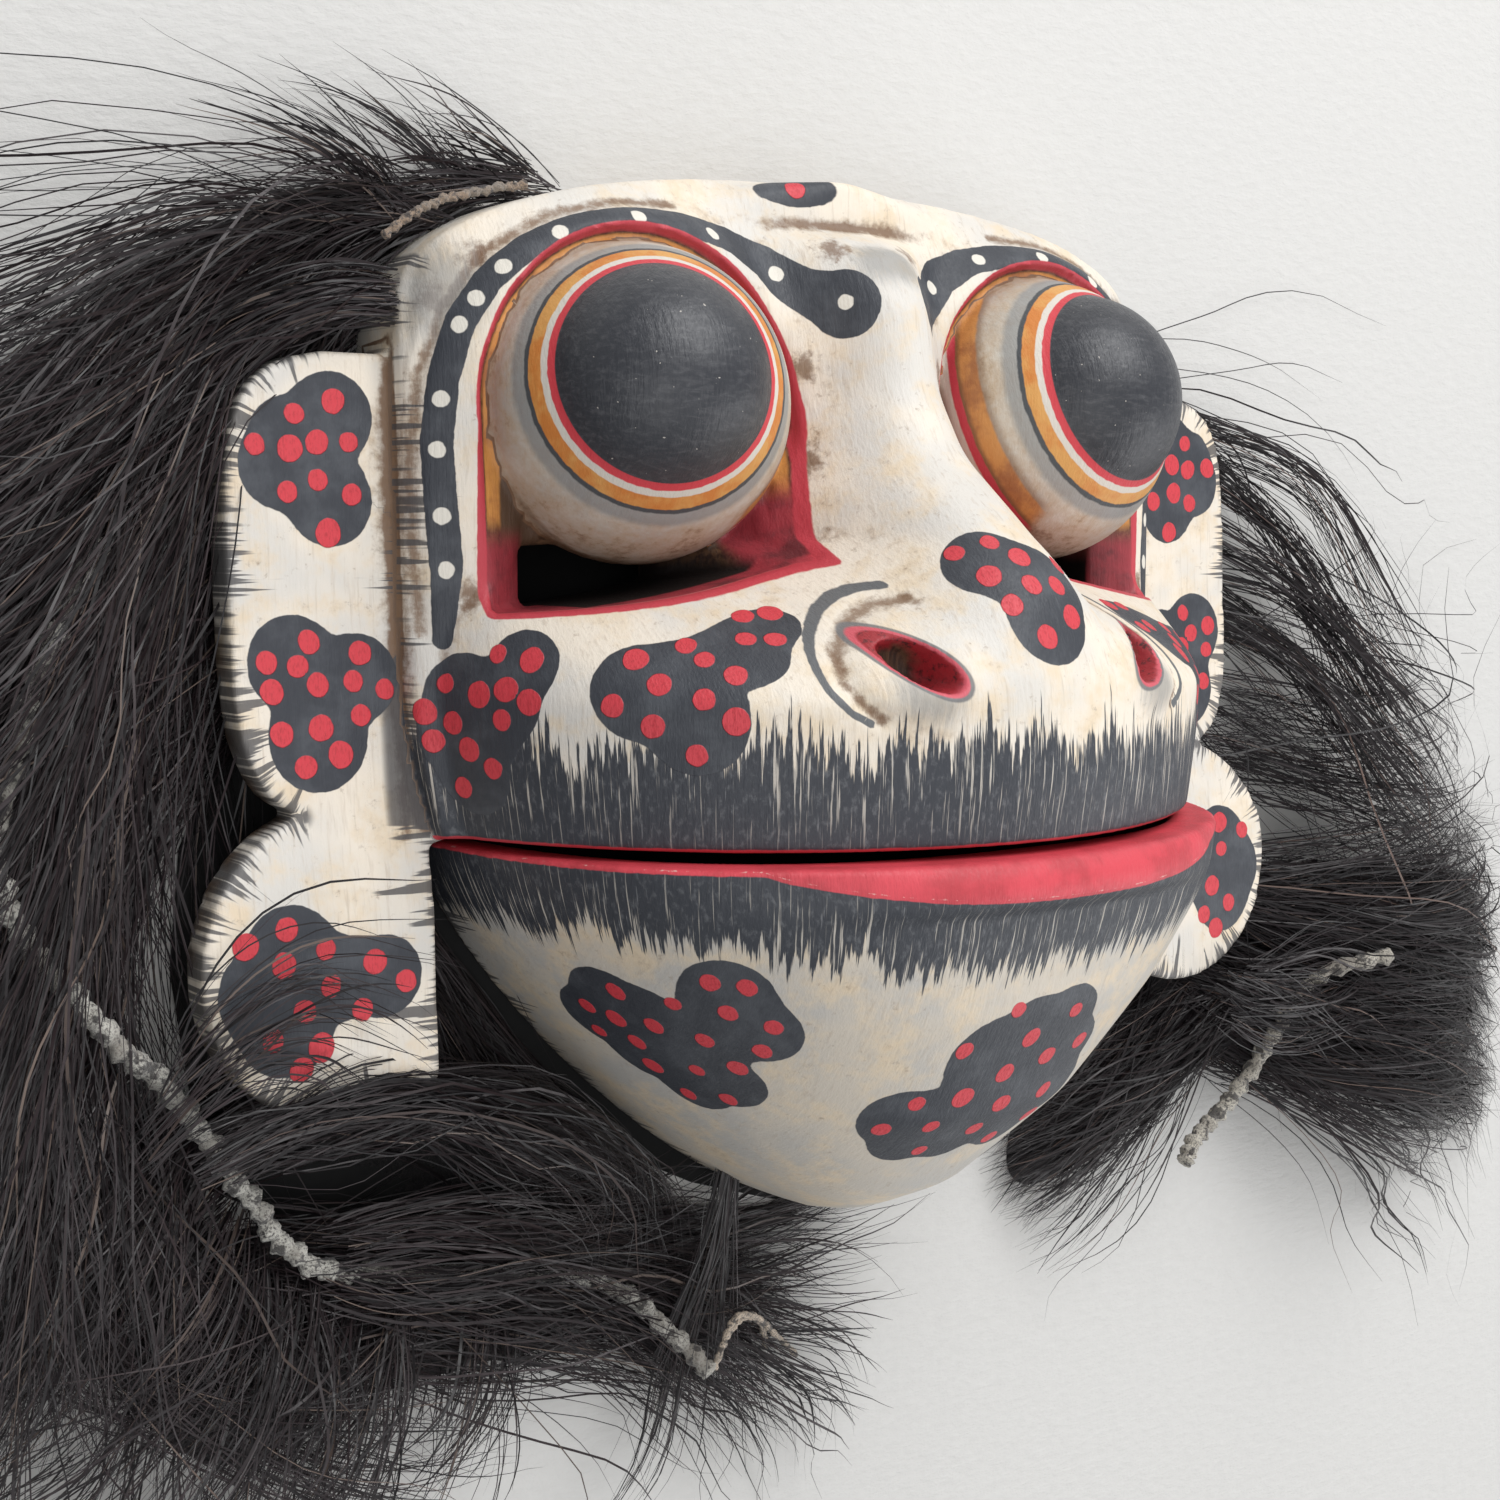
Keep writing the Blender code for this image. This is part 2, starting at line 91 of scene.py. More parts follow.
# ---------------------------------------------------------------------------
# Heading cords: soft cotton string knotted round tuft after tuft of hair, so
# that it reads as a row of small lumps. Each lies on top of its hair and ends
# in a knot; the right one has a frayed tail.

class Finish:
    """A finish laid on coat by coat: each method returns a value the next coat can use."""

    def __init__(self, name, roughness=0.5):
        self.material = bpy.data.materials.new(name)
        self.material.use_nodes = True
        self.tree = self.material.node_tree
        self.shader = self.tree.nodes["Principled BSDF"]
        self.shader.inputs["Roughness"].default_value = roughness
        self.place = self.add("ShaderNodeTexCoord").outputs["Object"]

    def add(self, kind, values=(), **settings):
        made = self.tree.nodes.new(kind)
        for key, value in settings.items():
            setattr(made, key, value)
        for socket, value in zip(made.inputs, values):
            self.plug(socket, value)
        return made

    def plug(self, socket, value):
        if isinstance(value, bpy.types.NodeSocket):
            self.tree.links.new(value, socket)
        elif value is not None:
            socket.default_value = value

    def maths(self, kind, a, b=None, c=None):
        return self.add("ShaderNodeMath", (a, b, c), operation=kind).outputs[0]

    def times(self, a, b):
        return self.maths("MULTIPLY", a, b)

    def plus(self, a, b):
        return self.maths("ADD", a, b)

    def scaled(self, value, by, more):
        """The value times by, and more added."""
        return self.maths("MULTIPLY_ADD", value, by, more)

    def stretched(self, across, up, out):
        """The place on the piece in millimetres, multiplied by three scales."""
        scales = tuple(value / MM for value in (across, up, out))
        return self.add("ShaderNodeVectorMath", (self.place, scales), operation="MULTIPLY").outputs[0]

    def noise(self, per_mm, detail=3.0, roughness=0.5, place=None, distortion=0.0):
        """Noise with so many lumps to a millimetre, about 0 to 1 with its middle at 0.5."""
        node = self.add("ShaderNodeTexNoise")
        for socket, value in (
            ("Vector", place or self.stretched(1.0, 1.0, 1.0)), ("Scale", per_mm), ("Detail", detail),
            ("Roughness", roughness), ("Distortion", distortion),
        ):
            self.plug(node.inputs[socket], value)
        return node.outputs["Fac"]

    def field(self, name):
        """A measure stored on the mesh, in millimetres."""
        return self.add("ShaderNodeAttribute", attribute_name=name).outputs["Fac"]

    def spot(self, name):
        """Millimetres from the middle of the nearest of a set of round marks."""
        centre = self.add("ShaderNodeAttribute", attribute_name=name).outputs["Vector"]
        apart = self.add("ShaderNodeVectorMath", (self.place, centre), operation="DISTANCE")
        return self.times(apart.outputs["Value"], 1.0 / MM)

    def ramp(self, value, low, high, start=0.0, end=1.0):
        """A smooth step from start to end as value goes from low to high."""
        node = self.add("ShaderNodeMapRange", (value, low, high, start, end))
        node.interpolation_type = "SMOOTHSTEP"
        return node.outputs[0]

    def over(self, under, coat, cover):
        """One colour laid over another where cover is 1."""
        node = self.add("ShaderNodeMix", data_type="RGBA")
        self.plug(node.inputs[0], cover)
        for socket, colour in ((node.inputs[6], under), (node.inputs[7], coat)):
            self.plug(socket, (*colour, 1.0) if isinstance(colour, tuple) else colour)
        return node.outputs[2]

    def laid(self, under, coat, value, low, high, cover=1.0):
        """One colour laid over another: none of it at low, so much cover from high on."""
        return self.over(under, coat, self.ramp(value, low, high, 0.0, cover))

    def bump(self, height, depth_mm):
        node = self.add("ShaderNodeBump")
        node.inputs["Strength"].default_value = 1.0
        node.inputs["Distance"].default_value = depth_mm * MM
        self.plug(node.inputs["Height"], height)
        self.plug(self.shader.inputs["Normal"], node.outputs[0])

    def end(self, colour, roughness=None):
        self.plug(self.shader.inputs["Base Color"], colour)
        if roughness is not None:
            self.plug(self.shader.inputs["Roughness"], roughness)
        return self.material


def piece_from(name, points, faces, finish, smooth=True):
    """A mesh piece from points in millimetres and faces of equal or mixed sizes."""
    mesh = bpy.data.meshes.new(name)
    mesh.from_pydata((np.asarray(points, float) * MM).tolist(), [], faces)
    mesh.materials.append(finish)
    if smooth:
        mesh.shade_smooth()
    return placed(name, mesh)


def stands_for(piece, body, node):
    """Let a piece ride on its body in place of a CAD node."""
    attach(piece, body)
    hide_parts(node)


def smooth_between(stations, t):
    """A smooth curve through a short list of points; t runs from 0 to 1."""
    last = len(stations) - 1
    at = min(t * last, last - 1e-9)
    i = int(at)
    u = at - i
    before, start = stations[max(0, i - 1)], stations[i]
    end, after = stations[i + 1], stations[min(last, i + 2)]
    return [
        0.5 * (2.0 * b + (c - a) * u + (2.0 * a - 5.0 * b + 4.0 * c - d) * u ** 2
               + (3.0 * b - a - 3.0 * c + d) * u ** 3)
        for a, b, c, d in zip(before, start, end, after)
    ]


STRING_RADIUS = 1.05
KNOT_SWELL = 0.85
KNOT_SWAY = 0.55
PLY_DEPTH = 0.17
PLY_TWIST = 9.0


def knotted_string(route, steps, knots, seed, thickness=1.0):
    """Points, faces and middle line of a string of three twisted strands, with a lump at every knot."""
    chance = random.Random(seed)
    line = [Vector(smooth_between(route, i / (steps - 1))) for i in range(steps)]
    lean = [chance.uniform(-1.0, 1.0) for _ in range(knots + 1)]
    points, faces = [], []
    around = 12
    for i, middle in enumerate(line):
        ahead = (line[min(steps - 1, i + 1)] - line[max(0, i - 1)]).normalized()
        side = ahead.cross(Vector((0.0, 0.0, 1.0))).normalized()
        top = side.cross(ahead)
        along = i / (steps - 1) * knots
        lump = abs(math.sin(math.pi * along))
        sway = KNOT_SWAY * thickness * lean[int(along)] * math.sin(math.pi * (along % 1.0))
        radius = thickness * (STRING_RADIUS + KNOT_SWELL * lump ** 0.8)
        if i in (0, steps - 1):
            radius = 0.25 * thickness
        for k in range(around):
            turn = 2.0 * math.pi * k / around
            reach = radius * (1.0 + PLY_DEPTH * math.cos(3.0 * turn + PLY_TWIST * along))
            out = side * math.cos(turn) + top * math.sin(turn)
            points.append(middle + out * reach + side * sway)
    for i in range(steps - 1):
        for k in range(around):
            a, b = i * around + k, i * around + (k + 1) % around
            faces.append((a, b, b + around, a + around))
    faces.append(tuple(range(around))[::-1])
    faces.append(tuple(range((steps - 1) * around, steps * around)))
    return points, faces, line


def cotton(name, tint):
    """Greyish undyed cotton, flecked darker in a fine pattern of fibres, and darker where hair is wound round
    it.
    """
    coat = Finish(name, 0.92)
    fibres = coat.noise(2.2, 4.0, 0.7)
    grime = coat.noise(0.12, 2.0)
    wound = coat.noise(0.42, 3.0, 0.6)
    pale = tuple(c * t for c, t in zip((0.62, 0.60, 0.54), tint))
    colour = coat.laid((0.10, 0.09, 0.085), pale, fibres, 0.34, 0.56)
    colour = coat.laid(colour, (0.27, 0.24, 0.205), grime, 0.42, 0.7, 0.75)
    colour = coat.laid(colour, (0.035, 0.030, 0.030), wound, 0.52, 0.60, 0.85)
    coat.bump(fibres, 0.5)
    coat.shader.inputs["Sheen Weight"].default_value = 0.25
    return coat.end(colour)


RIGHT_CORD = (
    (-134.0, 59.0, 19.5), (-148.0, 35.0, 27.0), (-153.5, 12.0, 29.0), (-141.0, -8.0, 22.8),
    (-124.0, -25.5, 14.0), (-111.0, -44.0, 11.0), (-100.0, -58.0, 12.2), (-78.0, -64.5, 9.5),
    (-55.0, -70.0, 6.5), (-36.0, -78.0, 6.5), (-22.5, -93.5, 14.5),
)
LEFT_CORD = (
    (156.0, -34.0, 27.0), (140.0, -38.5, 19.2), (131.0, -50.0, 16.0), (118.0, -62.0, 15.6),
    (106.5, -69.0, 16.0), (99.5, -74.5, 18.0),
)
KNOT_SPACING = 4.2
FRAYED_TAILS = (
    ((-22.0, -93.0, 14.5), (-20.4, -88.5, 15.2), (-16.5, -84.4, 14.0), (-9.9, -86.5, 11.0),
     (-2.4, -92.4, 7.0), (7.5, -101.1, 1.2)),
    ((-22.0, -93.0, 14.5), (-19.0, -87.4, 14.6), (-13.0, -85.6, 12.0), (-6.0, -90.0, 8.0),
     (-1.5, -97.0, 3.0)),
)
TAIL_THICKNESS = 0.36

for side, route, steps, tint in (
    ("right", RIGHT_CORD, 420, (1.0, 1.0, 1.0)),
    ("left", LEFT_CORD, 150, (1.02, 0.98, 0.93)),
):
    spots = [Vector(smooth_between(route, i / 60)) for i in range(61)]
    length = sum((a - b).length for a, b in zip(spots, spots[1:]))
    points, faces, line = knotted_string(route, steps, round(length / KNOT_SPACING), len(side))
    cord = piece_from(f"{side}_knotted_cord", points, faces, cotton(f"{side} cotton", tint))
    stands_for(cord, "mask", f"{side}_heading_cord")
    tails = []
    if side == "right":
        points, faces = [], []
        for ply, tail in enumerate(FRAYED_TAILS):
            more = knotted_string(tail, 70, 13, ply, TAIL_THICKNESS)
            faces += [tuple(k + len(points) for k in face) for face in more[1]]
            points += more[0]
        frayed = cotton("frayed cotton", (1.02, 0.86, 0.74))
        tails.append(piece_from("right_frayed_tail", points, faces, frayed))
        stands_for(tails[0], "mask", "right_heading_cord")


# ---------------------------------------------------------------------------
# Face block: one block of light wood, hollowed behind, with bulging eyes and
# two flat side panels. Carved, coated with thick off-white paint and painted
# by hand; every edge is softened by the paint and by handling.

CROWN_Y = 121.5
SHOULDER_Y = 92.0
MOUTH_Y = 10.5
HALF_WIDTH = 84.0
MOUTH_HALF_WIDTH = 79.5
BROW_Z = 27.0
BROW_ROUNDED_FROM_Y = 65.0
BROW_REACH = 58.0
MUZZLE_DEPTH = 80.0
MUZZLE_ROUND = 1.95
# The muzzle's upper side falls back by a share, from one level and over so many millimetres
MUZZLE_SHELF = (0.34, 33.0, 17.0)
WALL = 8.0
RIM_Z = ((10.5, 15.0), (24.0, 18.0), (90.0, 17.0), (121.5, 11.0))
NOSE_PROFILE = (
    (10.5, 80.0), (22.0, 82.0), (36.0, 81.5), (49.0, 77.0), (56.0, 72.0),
    (64.0, 62.0), (73.0, 50.0), (84.0, 43.0), (100.0, 40.0), (110.0, 33.0),
    (114.0, 20.0), (121.5, 11.0),
)
NOSE_HALF_WIDTH = ((10.5, 30.0), (36.0, 27.0), (56.0, 20.0), (84.0, 14.0), (121.5, 13.0))
EYE = (45.3, 81.0, 24.3)
EYE_RADIUS = 26.5
EYE_OUT_AND_UP_DEG = {-1: (17.5, 11.5), 1: (8.5, 16.0)}
PUPIL_RADIUS = 17.7
PUPIL_DOME_RADIUS = 19.8
LID_RADIUS = 28.8
INNER_CANTHUS = (21.5, 55.5)
OUTER_CANTHUS = (74.0, 47.0)
LID_SAG = 1.5
SLIT_ENDS = (0.28, 0.83)
EAR_THICK = 7.0
EAR_TOP_LOBE = (51.2, 37.1, 28.5)
EAR_LOW_LOBE = (95.5, -8.5, 25.0)
EAR_INNER_X = 80.5
EAR_FRONT_Z = ((-35.0, 20.5), (0.0, 19.5), (17.0, 16.5), (46.0, 14.2), (89.0, 12.6))
NOSTRIL = (25.0, 39.8)
NOSTRIL_HALF_SIZE = (7.2, 3.7)
NOSTRIL_DEPTH = 8.0
NOSTRIL_TILT = math.radians(37.0)
CARVING_GRAIN = 0.8
FACE_TRIANGLES = 190000


def eased(table, at, reach=2.5):
    """Read a short profile of (position, size) pairs, with its corners rounded off."""
    where, size = zip(*table)
    return sum(np.interp(at + reach * k / 3.0, where, size) for k in range(-3, 4)) / 7.0


def rounded(t, power):
    """Quarter of a superellipse: 1 at the middle, 0 at the edge."""
    return np.maximum(0.0, 1.0 - np.minimum(1.0, np.abs(t)) ** power) ** (1.0 / power)


def half_width(y):
    low = MOUTH_HALF_WIDTH + (HALF_WIDTH - MOUTH_HALF_WIDTH) * np.sin(
        np.clip((y - MOUTH_Y) / 26.0, 0.0, 1.0) * math.pi / 2.0)
    t = np.clip((y - SHOULDER_Y) / (CROWN_Y - SHOULDER_Y), 0.0, 1.0)
    return np.where(y <= SHOULDER_Y, low, HALF_WIDTH * np.sqrt(1.0 - t ** 2.6))


def beside(points, line, closed=False):
    """For each point, the distance to a line of straight steps and how far along it that is."""
    line = np.asarray(line, float)
    if closed:
        line = np.vstack((line, line[:1]))
    points = np.asarray(points, float)
    best = np.full(len(points), 1e9)
    along = np.zeros(len(points))
    gone = 0.0
    for start, step in zip(line, np.diff(line, axis=0)):
        length = np.linalg.norm(step)
        t = np.clip((points - start) @ step / length ** 2, 0.0, 1.0)
        apart = np.linalg.norm(points - start - t[:, None] * step, axis=1)
        near = apart < best
        best[near] = apart[near]
        along[near] = gone + t[near] * length
        gone += length
    return best, along


def inside(points, outline):
    """Which points lie inside a closed flat outline."""
    x, y = points[:, 0], points[:, 1]
    found = np.zeros(len(points), bool)
    ring = np.asarray(outline, float)
    for (ax, ay), (bx, by) in zip(ring, np.roll(ring, -1, axis=0)):
        if ay == by:
            continue
        crosses = (ay > y) != (by > y)
        found ^= crosses & (x < (bx - ax) * (y - ay) / (by - ay) + ax)
    return found


def lower_lid(start, stop, count):
    """Part of the left eye's lower edge, from its inner corner at 0 to its outer one at 1."""
    t = np.linspace(start, stop, count)[:, None]
    edge = np.array(INNER_CANTHUS) + (np.array(OUTER_CANTHUS) - np.array(INNER_CANTHUS)) * t
    edge[:, 1] -= LID_SAG * np.sin(math.pi * t[:, 0])
    return edge


def eye_outline():
    """Edge of the left eye's socket: round above, drawn down to the two corners."""
    turn = np.radians(np.linspace(-8.0, 188.0, 50))
    upper = np.array(EYE[:2]) + LID_RADIUS * np.stack((np.cos(turn), np.sin(turn)), axis=1)
    return np.vstack((upper, lower_lid(0.0, 1.0, 16)))


def slit_outline():
    """Outline of the slit that the wearer sees through, below the eyeball."""
    lower = lower_lid(*SLIT_ENDS, 14)
    return np.vstack((lower, lower[-1] + (0.0, 10.0), lower[0] + (0.0, 7.0)))


def from_lid(x, y):
    """Distance from the nearest eye socket's edge, negative inside it."""
    flat = np.stack((np.abs(x), y), axis=1)
    outline = eye_outline()
    apart = beside(flat, outline, closed=True)[0]
    return np.where(inside(flat, outline), -apart, apart)


def muzzle_height(x, y, width, depth):
    falls, start, over = MUZZLE_SHELF
    shelf = np.maximum(0.3, 1.0 - falls * np.maximum(0.0, (y - start) / over) ** 1.5)
    return depth * shelf * rounded(x / width, MUZZLE_ROUND)


def brow_height(x, y):
    reach = (np.abs(x) / HALF_WIDTH) ** 4 + (np.maximum(0.0, y - BROW_ROUNDED_FROM_Y) / BROW_REACH) ** 4
    rim = eased(RIM_Z, y)
    return rim + (BROW_Z - rim) * np.sqrt(np.maximum(0.0, 1.0 - reach))


# The moulding that stands up round an eye: its height at angles from straight out, and how wide it is
MOULDING = ((-75, 0.0), (-40, 1.0), (0, 1.8), (50, 3.6), (90, 4.6), (135, 3.4), (170, 1.0), (195, 0.0))
MOULDING_WIDTH = 8.5
# The round wing of a nostril, the crease round its outside, and the line cut round the brow
WING = (26.0, 40.5)
WING_RADIUS = 9.5
WING_RISE = 2.2
WING_CREASE = (
    (18.5, 49.4), (24.0, 48.4), (30.0, 45.4), (34.8, 41.0), (36.0, 36.8), (34.5, 33.6), (32.0, 31.4),
)
BROW_CREASE = (
    (82.6, 44.0), (83.2, 58.0), (83.3, 72.0), (82.4, 84.0), (78.5, 95.0), (71.0, 104.5),
    (60.0, 111.0), (48.0, 114.0), (36.0, 114.5),
)
# Each cut line with its depth and half its width
CUT_LINES = ((WING_CREASE, 1.5, 1.1), (BROW_CREASE, 1.1, 1.0))
CREST_RISE = 2.0
CREST_HALF_WIDTH = 11.5


def face_height(x, y):
    """Front of the face block: cheeks and brow, nose, mouldings, nostril wings, cut lines and crest."""
    width = np.maximum(1.0, half_width(y))

    def cheek(at):
        return np.maximum(muzzle_height(at, y, width, MUZZLE_DEPTH), brow_height(at, y))

    ridge = np.maximum(0.0, eased(NOSE_PROFILE, y) - cheek(np.zeros_like(x)))
    spread = np.exp(-(np.abs(x) / eased(NOSE_HALF_WIDTH, y)) ** 2.8)
    height = cheek(x) + ridge * spread
    flat = np.stack((np.abs(x), y), axis=1)
    turn = np.degrees(np.arctan2(y - EYE[1], np.abs(x) - EYE[0]))
    turn = np.where(turn < -90.0, turn + 360.0, turn)
    rise = np.interp(turn, *zip(*MOULDING))
    height += rise * np.cos(np.clip(from_lid(x, y) / MOULDING_WIDTH, 0.0, 1.0) * math.pi / 2.0) ** 2
    height += WING_RISE * np.exp(-(np.linalg.norm(flat - WING, axis=1) / WING_RADIUS) ** 4)
    for line, depth, half in CUT_LINES:
        height -= depth * np.exp(-(beside(flat, line)[0] / half) ** 2)
    crest = np.clip((109.6 - 0.045 * x ** 2 - y) / 1.6, 0.0, 1.0) * np.clip((y - 60.0) / 22.0, 0.0, 1.0)
    return height + CREST_RISE * crest * np.maximum(0.0, 1.0 - np.abs(x) / CREST_HALF_WIDTH)


LEDGE_DEPTH = 2.2
SLIT_FLOOR_Z = 18.0
# The slopes down from the eye's corners: level, the x where it is reached, and how steep
INNER_SLOPE = (36.0, 28.0, 2.3)
OUTER_SLOPE = (21.0, 65.5, 0.6)


def socket_floor(x, y):
    """Bottom of a socket: a shallow ledge round the ball, sloping down to the slit at the corners."""
    ledge = face_height(x, y) - LEDGE_DEPTH + 0.25 * from_lid(x, y)
    outer_slope = np.where(x > 60.0, OUTER_SLOPE[0] + OUTER_SLOPE[2] * (x - OUTER_SLOPE[1]), SLIT_FLOOR_Z)
    inner_slope = INNER_SLOPE[0] + INNER_SLOPE[2] * (INNER_SLOPE[1] - x)
    low = np.minimum(ledge, np.maximum(SLIT_FLOOR_Z, np.maximum(outer_slope, inner_slope)))
    share = np.clip((y - 55.0) / 8.0, 0.0, 1.0)
    return low + (ledge - low) * share ** 2 * (3.0 - 2.0 * share)


def hollow_half_width(y):
    return half_width(y + WALL * np.maximum(0.0, (y - 60.0) / 55.0)) - WALL


def hollow_height(x, y):
    width = np.maximum(1.0, half_width(y) - WALL)
    muzzle = np.where(y > 46.0, 0.0, muzzle_height(x, y + 9.0, width, MUZZLE_DEPTH - WALL))
    spread = np.exp(-(np.abs(x) / (0.72 * eased(NOSE_HALF_WIDTH, y))) ** 4)
    nose = np.where(y < 90.0, (eased(NOSE_PROFILE, y) - 20.0) * spread, 0.0)
    return np.maximum(np.maximum(muzzle, nose), 12.0)


def solid(name, points, faces):
    """A closed mesh in millimetres, faced outwards, used on the way to a carving."""
    bm = bmesh.new()
    corners = [bm.verts.new(tuple(map(float, point))) for point in points]
    for face in faces:
        bm.faces.new([corners[i] for i in face])
    bmesh.ops.recalc_face_normals(bm, faces=bm.faces)
    mesh = bpy.data.meshes.new(name)
    bm.to_mesh(mesh)
    bm.free()
    return placed(name, mesh)


def block(name, levels, width_at, height_at, columns, base_z):
    """A closed block: one section per level, flat behind and at both ends."""
    points, faces = [], []
    across = np.sin(math.pi * (np.arange(columns + 1) / columns - 0.5))
    for y in levels:
        x = max(0.6, float(width_at(np.float64(y)))) * across
        level = np.full_like(x, y)
        points.append((x[0], y, base_z))
        points.extend(zip(x, level, height_at(x, level)))
        points.append((x[-1], y, base_z))
    row = columns + 3
    for start in range(0, row * (len(levels) - 1), row):
        faces.extend((i, i + 1, i + 1 + row, i + row) for i in range(start, start + row - 1))
        faces.append((start, start + row, start + 2 * row - 1, start + row - 1))
    faces.append(tuple(range(row)))
    faces.append(tuple(range(row * (len(levels) - 1), row * len(levels))))
    return solid(name, points, faces)


def stacked(name, loops):
    """A closed solid through a stack of outlines with the same number of points."""
    count = len(loops[0])
    faces = [tuple(range(count)), tuple(range(count * (len(loops) - 1), count * len(loops)))]
    for low in range(0, count * (len(loops) - 1), count):
        for i in range(count):
            j = (i + 1) % count
            faces.append((low + i, low + j, low + count + j, low + count + i))
    return solid(name, np.vstack(loops), faces)


def raised(outline, side, z):
    """A flat outline of the left side, put at a height and on either side."""
    return np.column_stack((side * outline[:, 0], outline[:, 1], np.full(len(outline), z)))


def socket(side):
    """What is carved away round one eye, before the ball goes in."""
    edge, middle = eye_outline(), np.array((EYE[0], 74.0))
    loops = []
    for share in (0.04, 0.25, 0.5, 0.68, 0.8, 0.88, 0.94, 0.98, 1.0):
        x, y = (middle + (edge - middle) * share).T
        loops.append(np.column_stack((side * x, y, socket_floor(x, y))))
    return stacked("socket", loops + [raised(edge, side, 96.0)])


def eye_axis(side):
    out, up = (math.radians(a) for a in EYE_OUT_AND_UP_DEG[side])
    return Vector((side * math.sin(out) * math.cos(up), math.sin(up), math.cos(out) * math.cos(up)))


def eyeball(side):
    """The ball of an eye with the domed pupil raised on it."""
    ring = math.asin(PUPIL_RADIUS / EYE_RADIUS)
    profile = [(EYE_RADIUS * math.sin(a), EYE_RADIUS * math.cos(a))
               for a in np.linspace(math.pi * 0.80, ring, 26)]
    edge = math.asin(PUPIL_RADIUS / PUPIL_DOME_RADIUS)
    base = profile[-1][1] - PUPIL_DOME_RADIUS * math.cos(edge)
    profile += [(PUPIL_DOME_RADIUS * math.sin(a), base + PUPIL_DOME_RADIUS * math.cos(a))
                for a in np.linspace(edge, 0.02, 22)[1:]]
    turn = Vector((0.0, 0.0, 1.0)).rotation_difference(eye_axis(side))
    centre = Vector((side * EYE[0], EYE[1], EYE[2]))
    loops = [[centre + turn @ Vector((r * math.cos(a), r * math.sin(a), along))
              for a in np.linspace(0.0, 2.0 * math.pi, 90, endpoint=False)]
             for r, along in profile]
    return stacked("eyeball", [np.array(loop) for loop in loops])


def low_lobe_half(y):
    """Half the width of a panel's lower lobe."""
    return np.sqrt(np.maximum(0.0, EAR_LOW_LOBE[2] ** 2 - (y - EAR_LOW_LOBE[1]) ** 2))


def ear_outer_x(y):
    mid, half, reach = EAR_TOP_LOBE
    upper = np.where(np.abs(y - mid) > half, 0.0, HALF_WIDTH + reach * rounded((y - mid) / half, 4.0))
    return np.maximum(upper, EAR_LOW_LOBE[0] + low_lobe_half(y))


def ear_inner_x(y):
    free = np.maximum(EAR_INNER_X, EAR_LOW_LOBE[0] - low_lobe_half(y))
    return np.where(y > MOUTH_Y, MOUTH_HALF_WIDTH - 4.0, free)


EAR_FOOT = EAR_LOW_LOBE[1] - EAR_LOW_LOBE[2]
EAR_HEAD = EAR_TOP_LOBE[0] + EAR_TOP_LOBE[1]


def side_panel(side):
    """A flat panel at the side of the face, tipped forward at its foot."""
    levels = np.concatenate((
        EAR_FOOT + np.array((0.05, 0.4, 1.2)), np.linspace(EAR_FOOT + 2.2, EAR_HEAD - 2.2, 96),
        EAR_HEAD - np.array((1.2, 0.4, 0.05)),
    ))
    loops = []
    for y in levels:
        inner, outer = float(ear_inner_x(y)), float(ear_outer_x(y))
        outer = max(inner + 1.0, outer)
        front = float(eased(EAR_FRONT_Z, y))
        back = front - EAR_THICK
        section = ((inner, back), (outer, back), (outer, front), (inner, front))
        loops.append(np.array([(side * x, y, z) for x, z in section]))
    return stacked("panel", loops)


def nostril(side):
    """A leaf-shaped blind hollow in one wing of the nose."""
    floor = float(face_height(np.array([NOSTRIL[0]]), np.array([NOSTRIL[1]]))[0]) - NOSTRIL_DEPTH
    turn = np.linspace(0.0, 2.0 * math.pi, 40, endpoint=False)
    loops = []
    for z, scale in ((floor, 0.55), (floor + 4.0, 0.85), (floor + 26.0, 1.15)):
        far = NOSTRIL_HALF_SIZE[0] * np.cos(turn) * scale
        wide = NOSTRIL_HALF_SIZE[1] * np.sin(turn) * np.abs(np.sin(turn)) ** 0.4 * scale
        x = NOSTRIL[0] + far * math.cos(NOSTRIL_TILT) - wide * math.sin(NOSTRIL_TILT)
        y = NOSTRIL[1] + far * math.sin(NOSTRIL_TILT) + wide * math.cos(NOSTRIL_TILT)
        loops.append(raised(np.stack((x, y), axis=1), side, z))
    return stacked("nostril", loops)


def worked(thing, steps, most, kept):
    """Cut and join a block, round its edges over, and thin the mesh except where kept says so."""
    for kind, tool in steps:
        modifier = thing.modifiers.new(kind, "BOOLEAN")
        modifier.operation = kind
        modifier.solver = "EXACT"
        modifier.object = tool
    rounding = thing.modifiers.new("rounding", "REMESH")
    rounding.mode = "VOXEL"
    rounding.voxel_size = CARVING_GRAIN
    graph = bpy.context.evaluated_depsgraph_get()
    mesh = bpy.data.meshes.new_from_object(thing.evaluated_get(graph), depsgraph=graph)
    for used in (thing, *(tool for _, tool in steps)):
        bpy.data.objects.remove(used)
    softened = placed("softened", mesh)
    soft = softened.modifiers.new("soft", "SMOOTH")
    soft.factor = 0.5
    soft.iterations = 2
    loose = softened.vertex_groups.new(name="loose")
    loose.add(np.flatnonzero(~kept(corners_of(mesh))).tolist(), 1.0, "REPLACE")
    thinning = softened.modifiers.new("thinning", "DECIMATE")
    thinning.ratio = most / (2.0 * len(mesh.polygons))
    thinning.vertex_group = "loose"
    graph = bpy.context.evaluated_depsgraph_get()
    done = bpy.data.meshes.new_from_object(softened.evaluated_get(graph), depsgraph=graph)
    bpy.data.objects.remove(softened)
    return done


def corners_of(mesh):
    """The mesh's points, in millimetres."""
    flat = np.empty(3 * len(mesh.vertices), np.float32)
    mesh.vertices.foreach_get("co", flat)
    return flat.reshape(-1, 3).astype(float)


